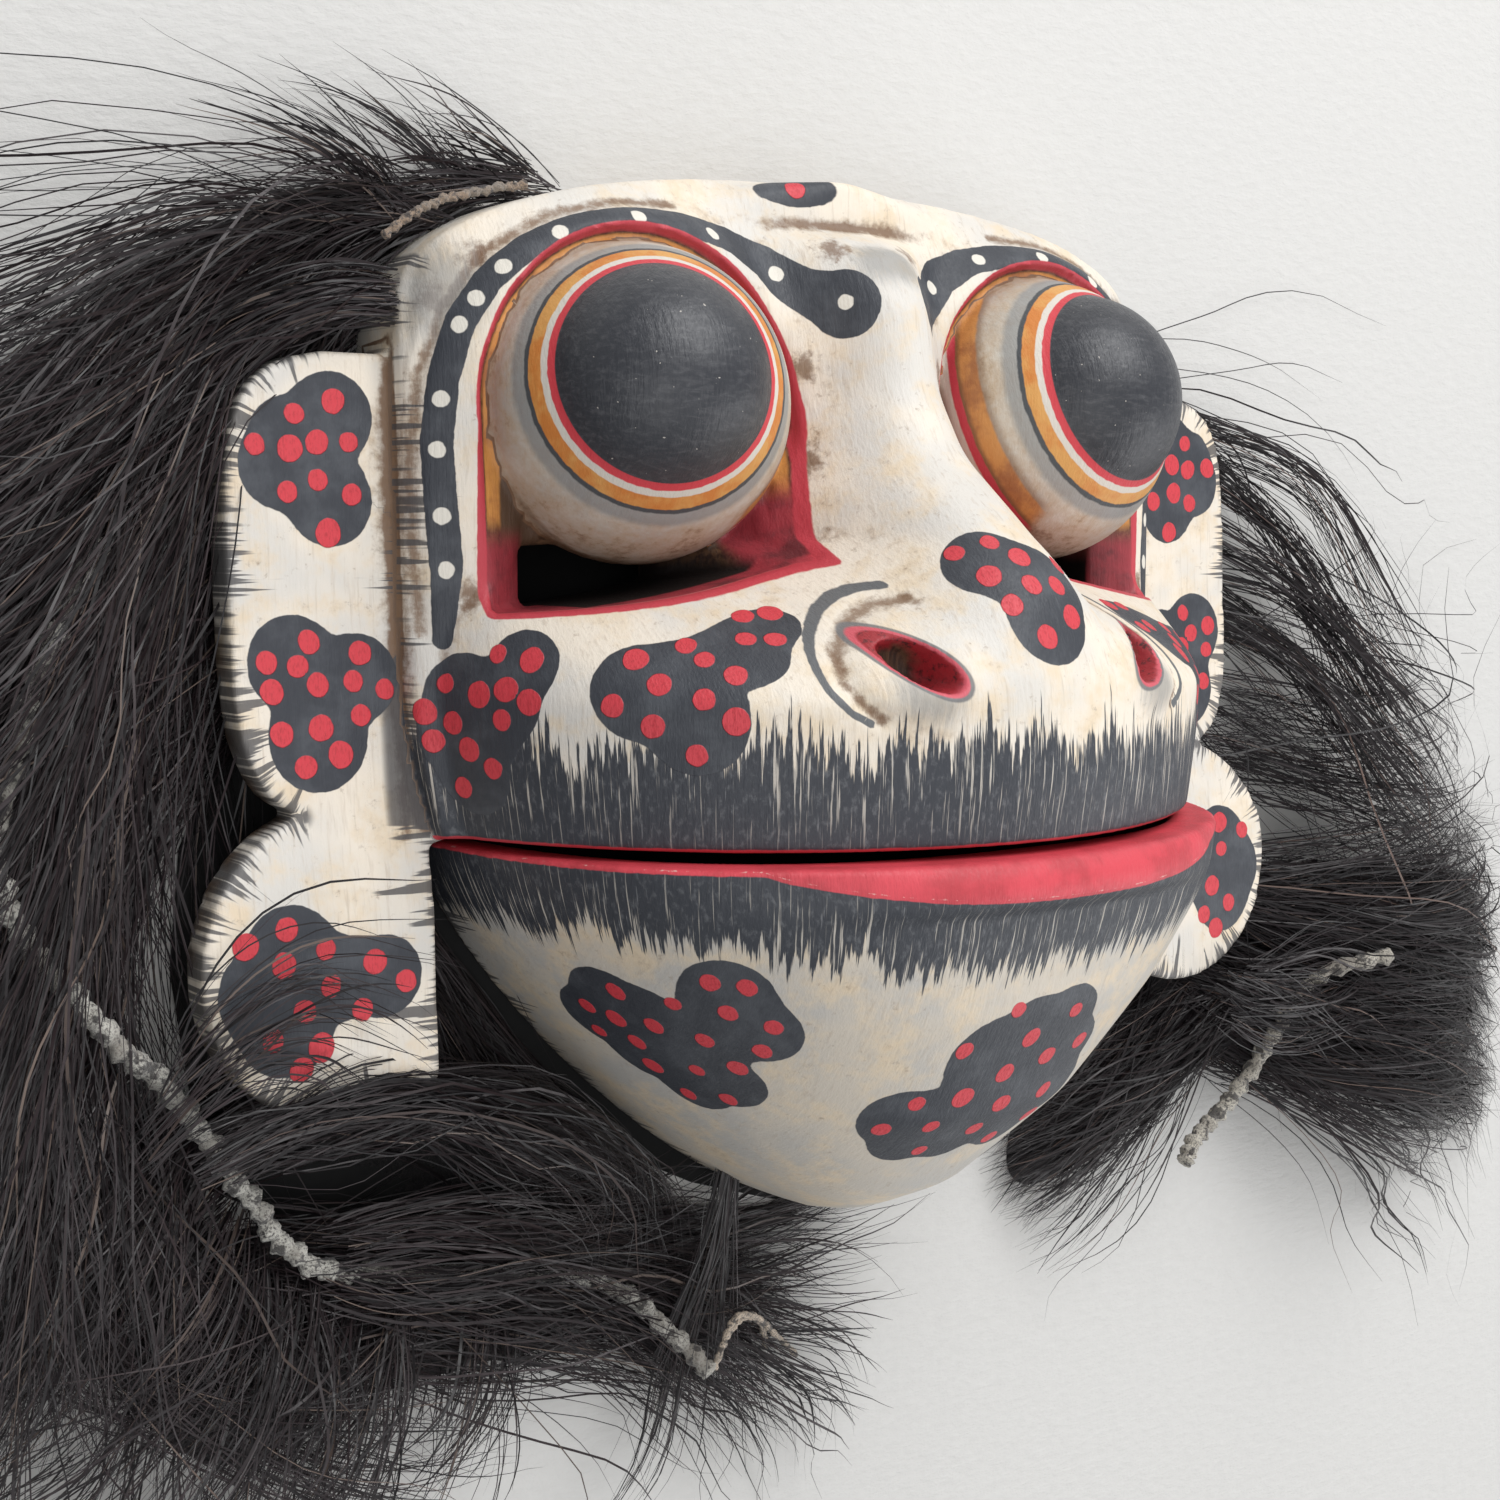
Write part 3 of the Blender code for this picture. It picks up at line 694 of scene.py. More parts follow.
def stored(mesh, name, values, where="POINT"):
    """Keep a measure on the mesh for its finish to read."""
    values = np.asarray(values, np.float32)
    vector = values.ndim == 2
    layer = mesh.attributes.new(name, "FLOAT_VECTOR" if vector else "FLOAT", where)
    layer.data.foreach_set("vector" if vector else "value", values.ravel())


def sunk(mesh, points, rounds):
    """How far each point lies below its surroundings, in millimetres: paint wears and dirt sits by it, and
    painted shade is laid by it.
    """
    ends = np.empty(2 * len(mesh.edges), np.int32)
    mesh.edges.foreach_get("vertices", ends)
    a, b = ends.reshape(-1, 2).T
    count = len(points)
    shared = (np.bincount(a, minlength=count) + np.bincount(b, minlength=count))[:, None]
    even = points.copy()
    for _ in range(rounds):
        total = np.stack([
            np.bincount(a, even[b, k], count) + np.bincount(b, even[a, k], count) for k in range(3)
        ], axis=1)
        even = 0.5 * even + 0.5 * total / shared
    normals = np.empty(3 * count, np.float32)
    mesh.vertices.foreach_get("normal", normals)
    return ((even - points) * normals.reshape(-1, 3)).sum(axis=1)


def shell_of(mesh):
    """A mesh's faces, ready to be searched for the nearest place or struck by a ray."""
    return BVHTree.FromPolygons([v.co for v in mesh.vertices], [tuple(f.vertices) for f in mesh.polygons])


def on_surface(mesh, marks):
    """Each mark moved to the nearest place on the carving."""
    shell = shell_of(mesh)
    return np.array([tuple(shell.find_nearest(Vector(mark))[0]) for mark in marks])


def nearest_mark(mesh, marks):
    """For every face, the middle of the mark nearest to it, in metres."""
    middles = np.empty(3 * len(mesh.polygons), np.float32)
    mesh.polygons.foreach_get("center", middles)
    middles = middles.reshape(-1, 3)
    best = np.full(len(middles), 1e9)
    chosen = np.zeros_like(middles)
    for mark in marks:
        apart = ((middles - mark) ** 2).sum(axis=1)
        near = apart < best
        best[near] = apart[near]
        chosen[near] = mark
    return chosen * MM


def to_lobes(points, lobes, softness=1.2):
    """Distance to the edge of a dark cloud made of round lobes, negative inside it."""
    total = np.zeros(len(points))
    for x, y, z, radius in lobes:
        apart = np.linalg.norm(points - (x, y, z), axis=1) - radius
        total += np.exp(-np.clip(apart, -20.0, 40.0) / softness)
    return -softness * np.log(total + 1e-12)


# Dark clouds on a side panel: their lobes (x, y, radius) and red dots (x, y)
PANEL_CLOUDS = (
    (((94.4, 78.0, 7.2), (103.4, 70.2, 6.7), (102.5, 75.5, 5.2), (95.0, 65.0, 7.3)),
     ((94, 80.5), (100.5, 78.5), (107.3, 73.3), (101.5, 73), (96.7, 74), (91.4, 74), (97, 68),
      (102, 66), (91, 66), (95.5, 60))),
    (((102.4, 39.6, 7.6), (91.5, 37.0, 7.0), (98.7, 27.6, 8.4)),
     ((99.5, 43), (106.7, 40), (101.7, 39), (90.7, 40.7), (98.6, 36), (106, 35.3), (92, 36.3),
      (87, 35), (91, 31), (104.8, 28.7), (98.4, 29.4), (95, 24.8), (101, 23.2))),
    (((106.0, -5.5, 7.9), (90.0, -10.5, 6.6), (97.5, -10.0, 6.5), (107.0, -16.5, 8.0),
      (110.5, -11.0, 7.6)),
     ((113.5, -3.3), (106.3, -1.2), (107, -7), (100.2, -5.2), (91.8, -8.2), (86.3, -11.8), (99.4, -11),
      (94, -15.2), (104, -14.4), (109.3, -18.6), (101.4, -20.6), (105, -23.5))),
)
# Dark clouds on each cheek, then the one on the nose: lobes (x, y, z, radius) and red dots (x, y, z)
CHEEK_CLOUDS = (
    (((79.0, 34.5, 26.0, 6.6), (73.0, 39.4, 35.5, 5.9), (75.6, 33.0, 33.6, 6.2), (79.2, 28.3, 24.0, 6.3),
      (77.0, 21.4, 27.0, 6.5), (77.0, 28.6, 30.0, 5.8)),
     ((75, 41, 31), (72, 40, 36), (80, 36, 23), (77.5, 34.5, 29), (75, 35.5, 33.5), (82.5, 31.5, 20.5),
      (79, 30, 24), (75.5, 30.5, 33), (73.5, 33.5, 37.5), (81.5, 26.5, 21), (78, 25.5, 26.5),
      (76, 22.5, 30.5), (77.5, 19.5, 24))),
    (((62.0, 36.0, 51.5, 7.9), (56.0, 38.0, 55.5, 7.2), (49.3, 41.4, 56.5, 5.8), (40.0, 45.2, 55.5, 5.0),
      (44.2, 43.5, 56.2, 5.6), (46.0, 40.4, 59.8, 5.2), (56.0, 31.0, 58.5, 8.2)),
     ((61, 40.5, 48.5), (53.5, 42.5, 52), (52.5, 40.5, 55.5), (42.5, 46.5, 51.5), (38, 47, 53),
      (45, 43.5, 56), (41, 43, 58), (50, 38.5, 60), (60, 36.5, 53.5), (65.5, 33.5, 49),
      (55, 34.5, 58.5), (61, 30.5, 53.5), (51.5, 31, 62), (56, 26, 58))),
)
NOSE_CLOUD = (
    ((-7.5, 54.6, 68.5, 6.4), (-3.5, 53.6, 73.0, 6.8), (1.5, 51.4, 75.2, 7.6), (-0.8, 46.2, 77.8, 7.8)),
    ((-10, 56.5, 65.5), (-5, 58.5, 68), (-8.5, 53, 71.5), (-1.5, 56, 71.5), (-7, 48.5, 76),
     (-2, 51.5, 75), (3.5, 51.5, 75), (7.5, 54.5, 71), (4.5, 46.5, 78), (-2.5, 43.5, 79)),
)
# Dark band round the top and outside of an eye; its half width along it, the round lobe at its inner end
# (x, y, radius), and how far along it the white dots are
BROW_BAND = (
    (79.8, 43.0), (79.2, 54.0), (79.8, 64.0), (80.3, 74.0), (79.3, 84.0), (76.6, 93.0), (72.0, 99.8),
    (65.0, 105.8), (55.0, 110.0), (45.0, 111.6), (36.0, 111.2), (27.0, 109.2), (20.0, 105.8), (14.5, 101.5),
    (9.8, 99.0),
)
BROW_BAND_HALF = ((0, 12, 80, 104, 116, 126), (1.7, 2.7, 2.6, 3.2, 3.9, 4.0))
BROW_LOBE = (9.4, 98.8, 5.9)
BROW_DOT_STATIONS = (11.0, 19.5, 30.0, 38.0, 50.0, 55.0, 62.0, 73.5, 88.5, 104.0, 118.0)


def lifted(points):
    """Flat marks put at the height of the face."""
    flat = np.asarray(points, float)
    return np.column_stack((flat, face_height(flat[:, 0], flat[:, 1])))


def towards(start, stop, count, crowd):
    """Levels from one end to the other, crowded towards the far end unless crowd is 1."""
    return start + (stop - start) * (1.0 - (1.0 - np.linspace(0.0, 1.0, count)) ** crowd)


def shown_front(points):
    """The painted front, which keeps its fine mesh."""
    x, y, z = points.T
    level = eased(EAR_FRONT_Z, y)
    panel = (z > level - 1.5) & (z < level + 1.5)
    return (z > face_height(x, y) - 1.5) & (np.abs(x) < half_width(y)) | panel


face_levels = np.concatenate((
    np.linspace(MOUTH_Y, SHOULDER_Y, 82), towards(SHOULDER_Y, CROWN_Y - 0.02, 34, 1.6)[1:]))
hollow_levels = np.concatenate((
    np.linspace(MOUTH_Y - 6.03, 89.3, 70), towards(90.6, CROWN_Y - WALL, 14, 1.6)))
steps = []
for side in (-1, 1):
    slit = stacked("slit", [raised(slit_outline(), side, z) for z in (-6.0, 12.0, 24.0)])
    steps += [("DIFFERENCE", socket(side)), ("DIFFERENCE", slit)]
for side in (-1, 1):
    steps += [("UNION", eyeball(side)), ("UNION", side_panel(side))]
steps.append(("DIFFERENCE", block("hollow", hollow_levels, hollow_half_width, hollow_height, 90, -5.0)))
steps += [("DIFFERENCE", nostril(side)) for side in (-1, 1)]
body = block("face", face_levels, half_width, face_height, 168, 0.0)
face_mesh = worked(body, steps, FACE_TRIANGLES, shown_front)


def painted_fields(mesh, points, clouds, red_dots):
    """Keep the measures that every painted piece shares."""
    stored(mesh, "cloud", clouds)
    stored(mesh, "hollow_fine", sunk(mesh, points, 3))
    stored(mesh, "hollow_broad", sunk(mesh, points, 40))
    stored(mesh, "turn", 78.0 * np.arctan2(points[:, 0], np.maximum(1.0, points[:, 2])))
    stored(mesh, "red_dot", nearest_mark(mesh, red_dots), "FACE")


def steps_along(line):
    """How far along a line each of its places is."""
    return np.concatenate(([0.0], np.cumsum(np.linalg.norm(np.diff(line, axis=0), axis=1))))


def merged(first, second, softness=1.2):
    """Distance to the nearer of two dark shapes, with the corner between them filled in."""
    total = sum(np.exp(-np.clip(apart, -20, 40) / softness) for apart in (first, second))
    return -softness * np.log(total)


def in_spots(places, spots):
    """Distance from the middle of the nearest of some round spots, as a share of the spot's size."""
    return np.min([
        np.linalg.norm(places - lifted([(at_x, at_y)])[0], axis=1) / size for at_x, at_y, size in spots
    ], axis=0)


FAR_OFF = 30.0
points = corners_of(face_mesh)
x, y, z = points.T
wide = np.abs(x)
flat = np.stack((wide, y), axis=1)
mirrored = np.stack((wide, y, z), axis=1)
on_panel = ((wide > half_width(y) - 0.4) | (y < MOUTH_Y - 0.3)) & (y < EAR_HEAD + 0.5)
on_panel &= z < eased(EAR_FRONT_Z, y) + 0.6
clouds = np.full(len(points), FAR_OFF)
panel_clouds = np.full(len(points), FAR_OFF)
red_dots = []
for lobes, dots in PANEL_CLOUDS:
    flat_lobes = [(lx, ly, 0.0, r) for lx, ly, r in lobes]
    panel_clouds = np.minimum(panel_clouds, to_lobes(np.stack((wide, y, 0.0 * z), axis=1), flat_lobes))
    red_dots += [(side * dx, dy, float(eased(EAR_FRONT_Z, dy))) for dx, dy in dots for side in (-1, 1)]
for side in (-1, 1):
    for lobes, dots in CHEEK_CLOUDS:
        clouds = np.minimum(clouds, to_lobes(points, [(side * lx, ly, lz, r) for lx, ly, lz, r in lobes]))
        red_dots += [(side * dx, dy, dz) for dx, dy, dz in dots]
brow_band = lifted(BROW_BAND)
flat_length = steps_along(BROW_BAND)
apart, along = beside(mirrored, brow_band)
half = np.interp(along / steps_along(brow_band)[-1] * flat_length[-1], *BROW_BAND_HALF)
inner_lobe = np.linalg.norm(mirrored - lifted([BROW_LOBE[:2]])[0], axis=1) - BROW_LOBE[2]
clouds = np.minimum(clouds, np.where(z > 12.0, merged(apart - half, inner_lobe), FAR_OFF))
clouds = np.minimum(clouds, to_lobes(points, NOSE_CLOUD[0]))
clouds = np.where(on_panel, panel_clouds, clouds)
red_dots += list(NOSE_CLOUD[1])
rim_spot = on_surface(face_mesh, [(-10.0, 119.6, 22.8)])[0]
clouds = np.minimum(clouds, np.linalg.norm((points - rim_spot) / (2.6, 1.0, 1.2), axis=1) - 3.4)
stations = [[np.interp(s, flat_length, places) for places in zip(*BROW_BAND)] for s in BROW_DOT_STATIONS]
stations.append((9.4, 99.0))
white_dots = on_surface(face_mesh, [(side * p[0], p[1], p[2]) for side in (-1, 1) for p in lifted(stations)])
painted_fields(face_mesh, points, clouds, on_surface(face_mesh, red_dots + [tuple(rim_spot)]))
stored(face_mesh, "white_dot", nearest_mark(face_mesh, white_dots), "FACE")

# Rings round the pupils, which points are on the balls, and how far each has risen past its lid
LID_AXIS = (0.26, 0.33, 0.91)
ring = np.full(len(points), 60.0)
past_lid = np.full(len(points), FAR_OFF)
for side in (-1, 1):
    out = points - np.array((side * EYE[0], EYE[1], EYE[2]))
    axis = np.array(eye_axis(side))
    ahead = out @ axis
    far = np.linalg.norm(out, axis=1)
    round_axis = np.linalg.norm(out - ahead[:, None] * axis, axis=1)
    on_dome = (round_axis < PUPIL_RADIUS + 0.8) & (ahead > 12.0) & (far < 34.0)
    on_ball = (np.abs(far - EYE_RADIUS) < 0.7) | on_dome
    ring = np.where(on_ball, round_axis + np.maximum(0.0, -ahead), ring)
    past_lid = np.where(on_ball, out @ (side * LID_AXIS[0], LID_AXIS[1], LID_AXIS[2]), past_lid)
lid = from_lid(x, y)
deep = face_height(x, y) - z

# Where short strokes fringe the edges of the panels and the sides of the face
t = np.linspace(EAR_FOOT, EAR_HEAD, 140)
foot = t[t < MOUTH_Y + 3.0]
outer_edge = beside(flat, np.column_stack((ear_outer_x(t), t)))
inner_edge = beside(flat, np.column_stack((ear_inner_x(np.minimum(foot, MOUTH_Y - 0.1)), foot)))
seam = beside(flat, ((HALF_WIDTH + 0.5, MOUTH_Y), (HALF_WIDTH + 0.5, EAR_HEAD)))
panel_apart = np.minimum(outer_edge[0], np.minimum(inner_edge[0], seam[0] + 2.5))
panel_along = np.where(outer_edge[0] < inner_edge[0], outer_edge[1], inner_edge[1] + 300.0)
t = np.linspace(MOUTH_Y + 2.0, 104.0, 60)
side_apart, side_along = beside(flat, np.column_stack((half_width(t), t)))

# Cut lines, the line painted round a nostril's wing, the nostril, and bare wood behind
by_panel = np.abs(wide - HALF_WIDTH - 0.6) + np.where((y > MOUTH_Y) & (y < EAR_HEAD), 0.0, FAR_OFF)
crease = np.minimum(beside(flat, BROW_CREASE)[0], by_panel)
crease = np.minimum(crease, beside(flat, WING_CREASE)[0] + np.where(z > 50.0, 0.0, FAR_OFF))
WING_LINE = (
    (20.0, 51.6), (25.5, 50.4), (32.0, 47.2), (37.4, 42.2), (38.9, 36.8), (37.0, 33.0), (33.5, 30.6),
)
NOSTRIL_PAINT = (6.9, 3.6)
wing_line = np.array([smooth_between(WING_LINE, t) for t in np.linspace(0.0, 1.0, 40)])
tilt = np.array((
    (math.cos(NOSTRIL_TILT), math.sin(NOSTRIL_TILT)), (-math.sin(NOSTRIL_TILT), math.cos(NOSTRIL_TILT))))
nostril_at = np.linalg.norm((flat - NOSTRIL) @ tilt.T / NOSTRIL_PAINT, axis=1)
behind = (deep > 5.0) & (wide < half_width(y) - 1.5) & (y > MOUTH_Y + 1.6) & (lid > 0.8) & (z < 68.0)
behind |= on_panel & (z < eased(EAR_FRONT_Z, y) - EAR_THICK + 1.0)
behind |= ((z < 1.0) & (wide < half_width(y) - 1.2)) | ((lid < 1.0) & (z < 13.0))
for name, values in (
    ("ring", ring),
    ("past_lid", past_lid),
    ("lid", np.where((z > 9.0) & (wide < 81.0), lid, FAR_OFF)),
    ("deep", deep),
    ("height", z),
    ("rise", y - MOUTH_Y),
    ("wide", wide),
    ("panel", on_panel),
    ("edge", np.where(on_panel, panel_apart, side_apart + np.where(z > 30.0, 9.0, 1.5))),
    ("edge_along", np.where(on_panel, panel_along, side_along + 600.0)),
    ("crease", np.where(z > 8.0, crease, FAR_OFF)),
    ("wing", np.where(z > 45.0, beside(flat, wing_line)[0], FAR_OFF)),
    ("nostril", np.where(z > 50.0, nostril_at, 9.0)),
    ("smudge", in_spots(mirrored, ((79.0, 98.0, 13.0), (2.0, 106.5, 8.0), (25.0, 36.0, 10.0)))),
    ("stain", in_spots(mirrored, (
        (8.5, 108.5, 5.5), (80.0, 97.0, 5.0), (17.0, 72.0, 6.0), (15.0, 88.0, 5.0), (76.0, 50.0, 5.0),
        (72.0, 104.0, 5.0)))),
    ("bare", behind),
):
    stored(face_mesh, name, values)


OFF_WHITE = (0.80, 0.72, 0.61)
GREY_WHITE = (0.64, 0.62, 0.585)
CHARCOAL = (0.036, 0.040, 0.050)
RED = (0.62, 0.045, 0.062)
LID_RED = (0.52, 0.05, 0.07)
LIP_RED = (0.50, 0.045, 0.06)
ORANGE = (0.62, 0.27, 0.065)
PATINA = (0.16, 0.082, 0.040)
BARE_WOOD = (0.13, 0.075, 0.042)


def wood_paint(name, painted_shade=0.0):
    """Old hand-painted wood: the noises of one finish, and its off-white coat, darkened by so much painted
    shade.
    """
    coat = Finish(name, 0.5)
    coat.grain = coat.noise(1.0, 4.0, 0.6, coat.stretched(1.3, 0.09, 0.5))
    coat.fine = coat.noise(2.6, 3.0, 0.6, coat.stretched(1.0, 0.35, 1.0))
    coat.broad = coat.noise(0.035, 3.0, 0.6)
    coat.blotch = coat.noise(0.11, 4.0, 0.65)
    coat.speck = coat.noise(0.55, 4.0, 0.7)
    coat.wobble = coat.scaled(coat.noise(0.5, 2.0), 0.8, -0.4)
    clean, grey = (tuple(c * (1.0 - painted_shade) for c in tint) for tint in (OFF_WHITE, GREY_WHITE))
    colour = coat.laid(clean, grey, coat.broad, 0.42, 0.62, 0.8)
    colour = coat.laid(colour, (0.74, 0.60, 0.42), coat.blotch, 0.44, 0.70, 0.8)
    colour = coat.laid(colour, (0.46, 0.37, 0.28), coat.grain, 0.53, 0.74, 0.40)
    colour = coat.laid(colour, (0.33, 0.25, 0.18), coat.speck, 0.60, 0.76, 0.55)
    # Patina laid in the hollows, broad and fine, together with painted shade there: the deeper the hollow,
    # the darker
    dirt_and_shade = coat.scaled(coat.field("hollow_broad"), 1.5, coat.times(coat.field("hollow_fine"), 4.0))
    dirt_and_shade = coat.plus(dirt_and_shade, coat.scaled(coat.blotch, 1.6, -0.8))
    dirt_and_shade = coat.plus(dirt_and_shade, coat.scaled(coat.speck, 1.2, -0.6))
    return coat, coat.laid(colour, PATINA, dirt_and_shade, 0.10, 1.05, 0.9)


def uneven(coat, edge, by):
    """An edge made to waver, as a brush leaves it."""
    return coat.scaled(coat.wobble, by, edge)


def streaks(coat, across, along, across_per_mm, along_per_mm, detail=2.0):
    """Noise drawn out along one direction, as bristles leave it."""
    place = coat.add("ShaderNodeCombineXYZ", (
        coat.times(across, across_per_mm), coat.times(along, along_per_mm), None))
    return coat.noise(1.0, detail, 0.65, place.outputs[0])


def fringed(coat, colour):
    """Short charcoal strokes drawn inwards from an edge, in loose groups."""
    edge, along = coat.field("edge"), coat.field("edge_along")
    group = coat.ramp(streaks(coat, along, edge, 0.10, 0.0, 1.0), 0.44, 0.62)
    thread = streaks(coat, along, edge, 0.75, 0.04)
    reach = coat.times(group, coat.ramp(thread, 0.36, 0.70, 0.0, 8.5))
    reach = coat.plus(reach, coat.ramp(thread, 0.40, 0.66, -0.5, 2.6))
    stroke = coat.maths("SUBTRACT", reach, edge)
    return coat.laid(colour, (0.07, 0.068, 0.072), stroke, -0.4, 1.6, 0.88)


def whiskered(coat, colour, rise, solid_to, tips_to):
    """A charcoal band along the mouth, dry-brushed out into ragged upright strokes."""
    turn = coat.field("turn")
    share = coat.maths("DIVIDE", coat.maths("SUBTRACT", rise, solid_to), tips_to - solid_to)
    lock = coat.times(streaks(coat, turn, rise, 0.16, 0.01), 0.55)
    hair = coat.scaled(streaks(coat, turn, rise, 1.25, 0.055, 3.0), 0.85, lock)
    needed = coat.scaled(share, 0.36, 0.52)
    band = coat.ramp(coat.maths("SUBTRACT", hair, needed), -0.02, 0.03)
    band = coat.maths("MAXIMUM", band, coat.ramp(share, -0.35, -0.65))
    gap = coat.ramp(streaks(coat, turn, rise, 1.9, 0.05, 3.0), 0.575, 0.64)
    gap = coat.times(gap, coat.ramp(share, -1.3, 0.1, 0.12, 0.85))
    chalky, worn = streaks(coat, turn, rise, 0.9, 0.5, 4.0), streaks(coat, turn, rise, 2.2, 0.16, 3.0)
    dark = coat.laid(CHARCOAL, (0.13, 0.135, 0.145), chalky, 0.50, 0.72, 0.7)
    dark = coat.over(dark, (0.60, 0.55, 0.48), gap)
    dark = coat.laid(dark, (0.30, 0.30, 0.31), worn, 0.62, 0.74, 0.55)
    return coat.over(colour, dark, band)


def clouded(coat, colour, dot_radius):
    """Dark clouds with a slightly uneven edge, then red dots laid on thickly."""
    scuffed = coat.laid(CHARCOAL, (0.066, 0.072, 0.084), coat.blotch, 0.42, 0.68)
    scuffed = coat.laid(scuffed, (0.15, 0.145, 0.14), coat.fine, 0.68, 0.80, 0.5)
    coat.dark = coat.ramp(uneven(coat, coat.field("cloud"), 0.6), 0.10, -0.10)
    colour = coat.over(colour, scuffed, coat.dark)
    size = coat.scaled(coat.noise(0.13, 0.0, 0.0), 1.7, dot_radius - 0.85)
    dot = coat.maths("SUBTRACT", uneven(coat, coat.spot("red_dot"), 0.6), size)
    coat.dots = coat.ramp(dot, 0.10, -0.10)
    return coat.over(colour, coat.laid(RED, (0.42, 0.026, 0.036), coat.fine, 0.46, 0.72, 0.75), coat.dots)


def worn_finish(coat, colour, gloss=None):
    """Bare wood where no paint was laid, the grain, brush marks and dots in relief, and the sheen."""
    # Bare wood behind, mottled nearly black along its grain: the wood's own colour, darkened as painted shade
    # inside the hollow
    bare_wood_and_shade = coat.laid(BARE_WOOD, (0.045, 0.027, 0.017), coat.grain, 0.35, 0.65)
    colour = coat.over(colour, bare_wood_and_shade, coat.field("bare"))
    height = coat.scaled(coat.grain, 0.5, coat.times(coat.fine, 0.25))
    height = coat.scaled(coat.dots, 0.45, height)
    coat.bump(coat.scaled(coat.dark, 0.12, height), 0.30)
    rough = coat.ramp(coat.fine, 0.3, 0.8, 0.46, 0.66)
    return coat.end(colour, rough if gloss is None else coat.scaled(gloss, -0.14, rough))


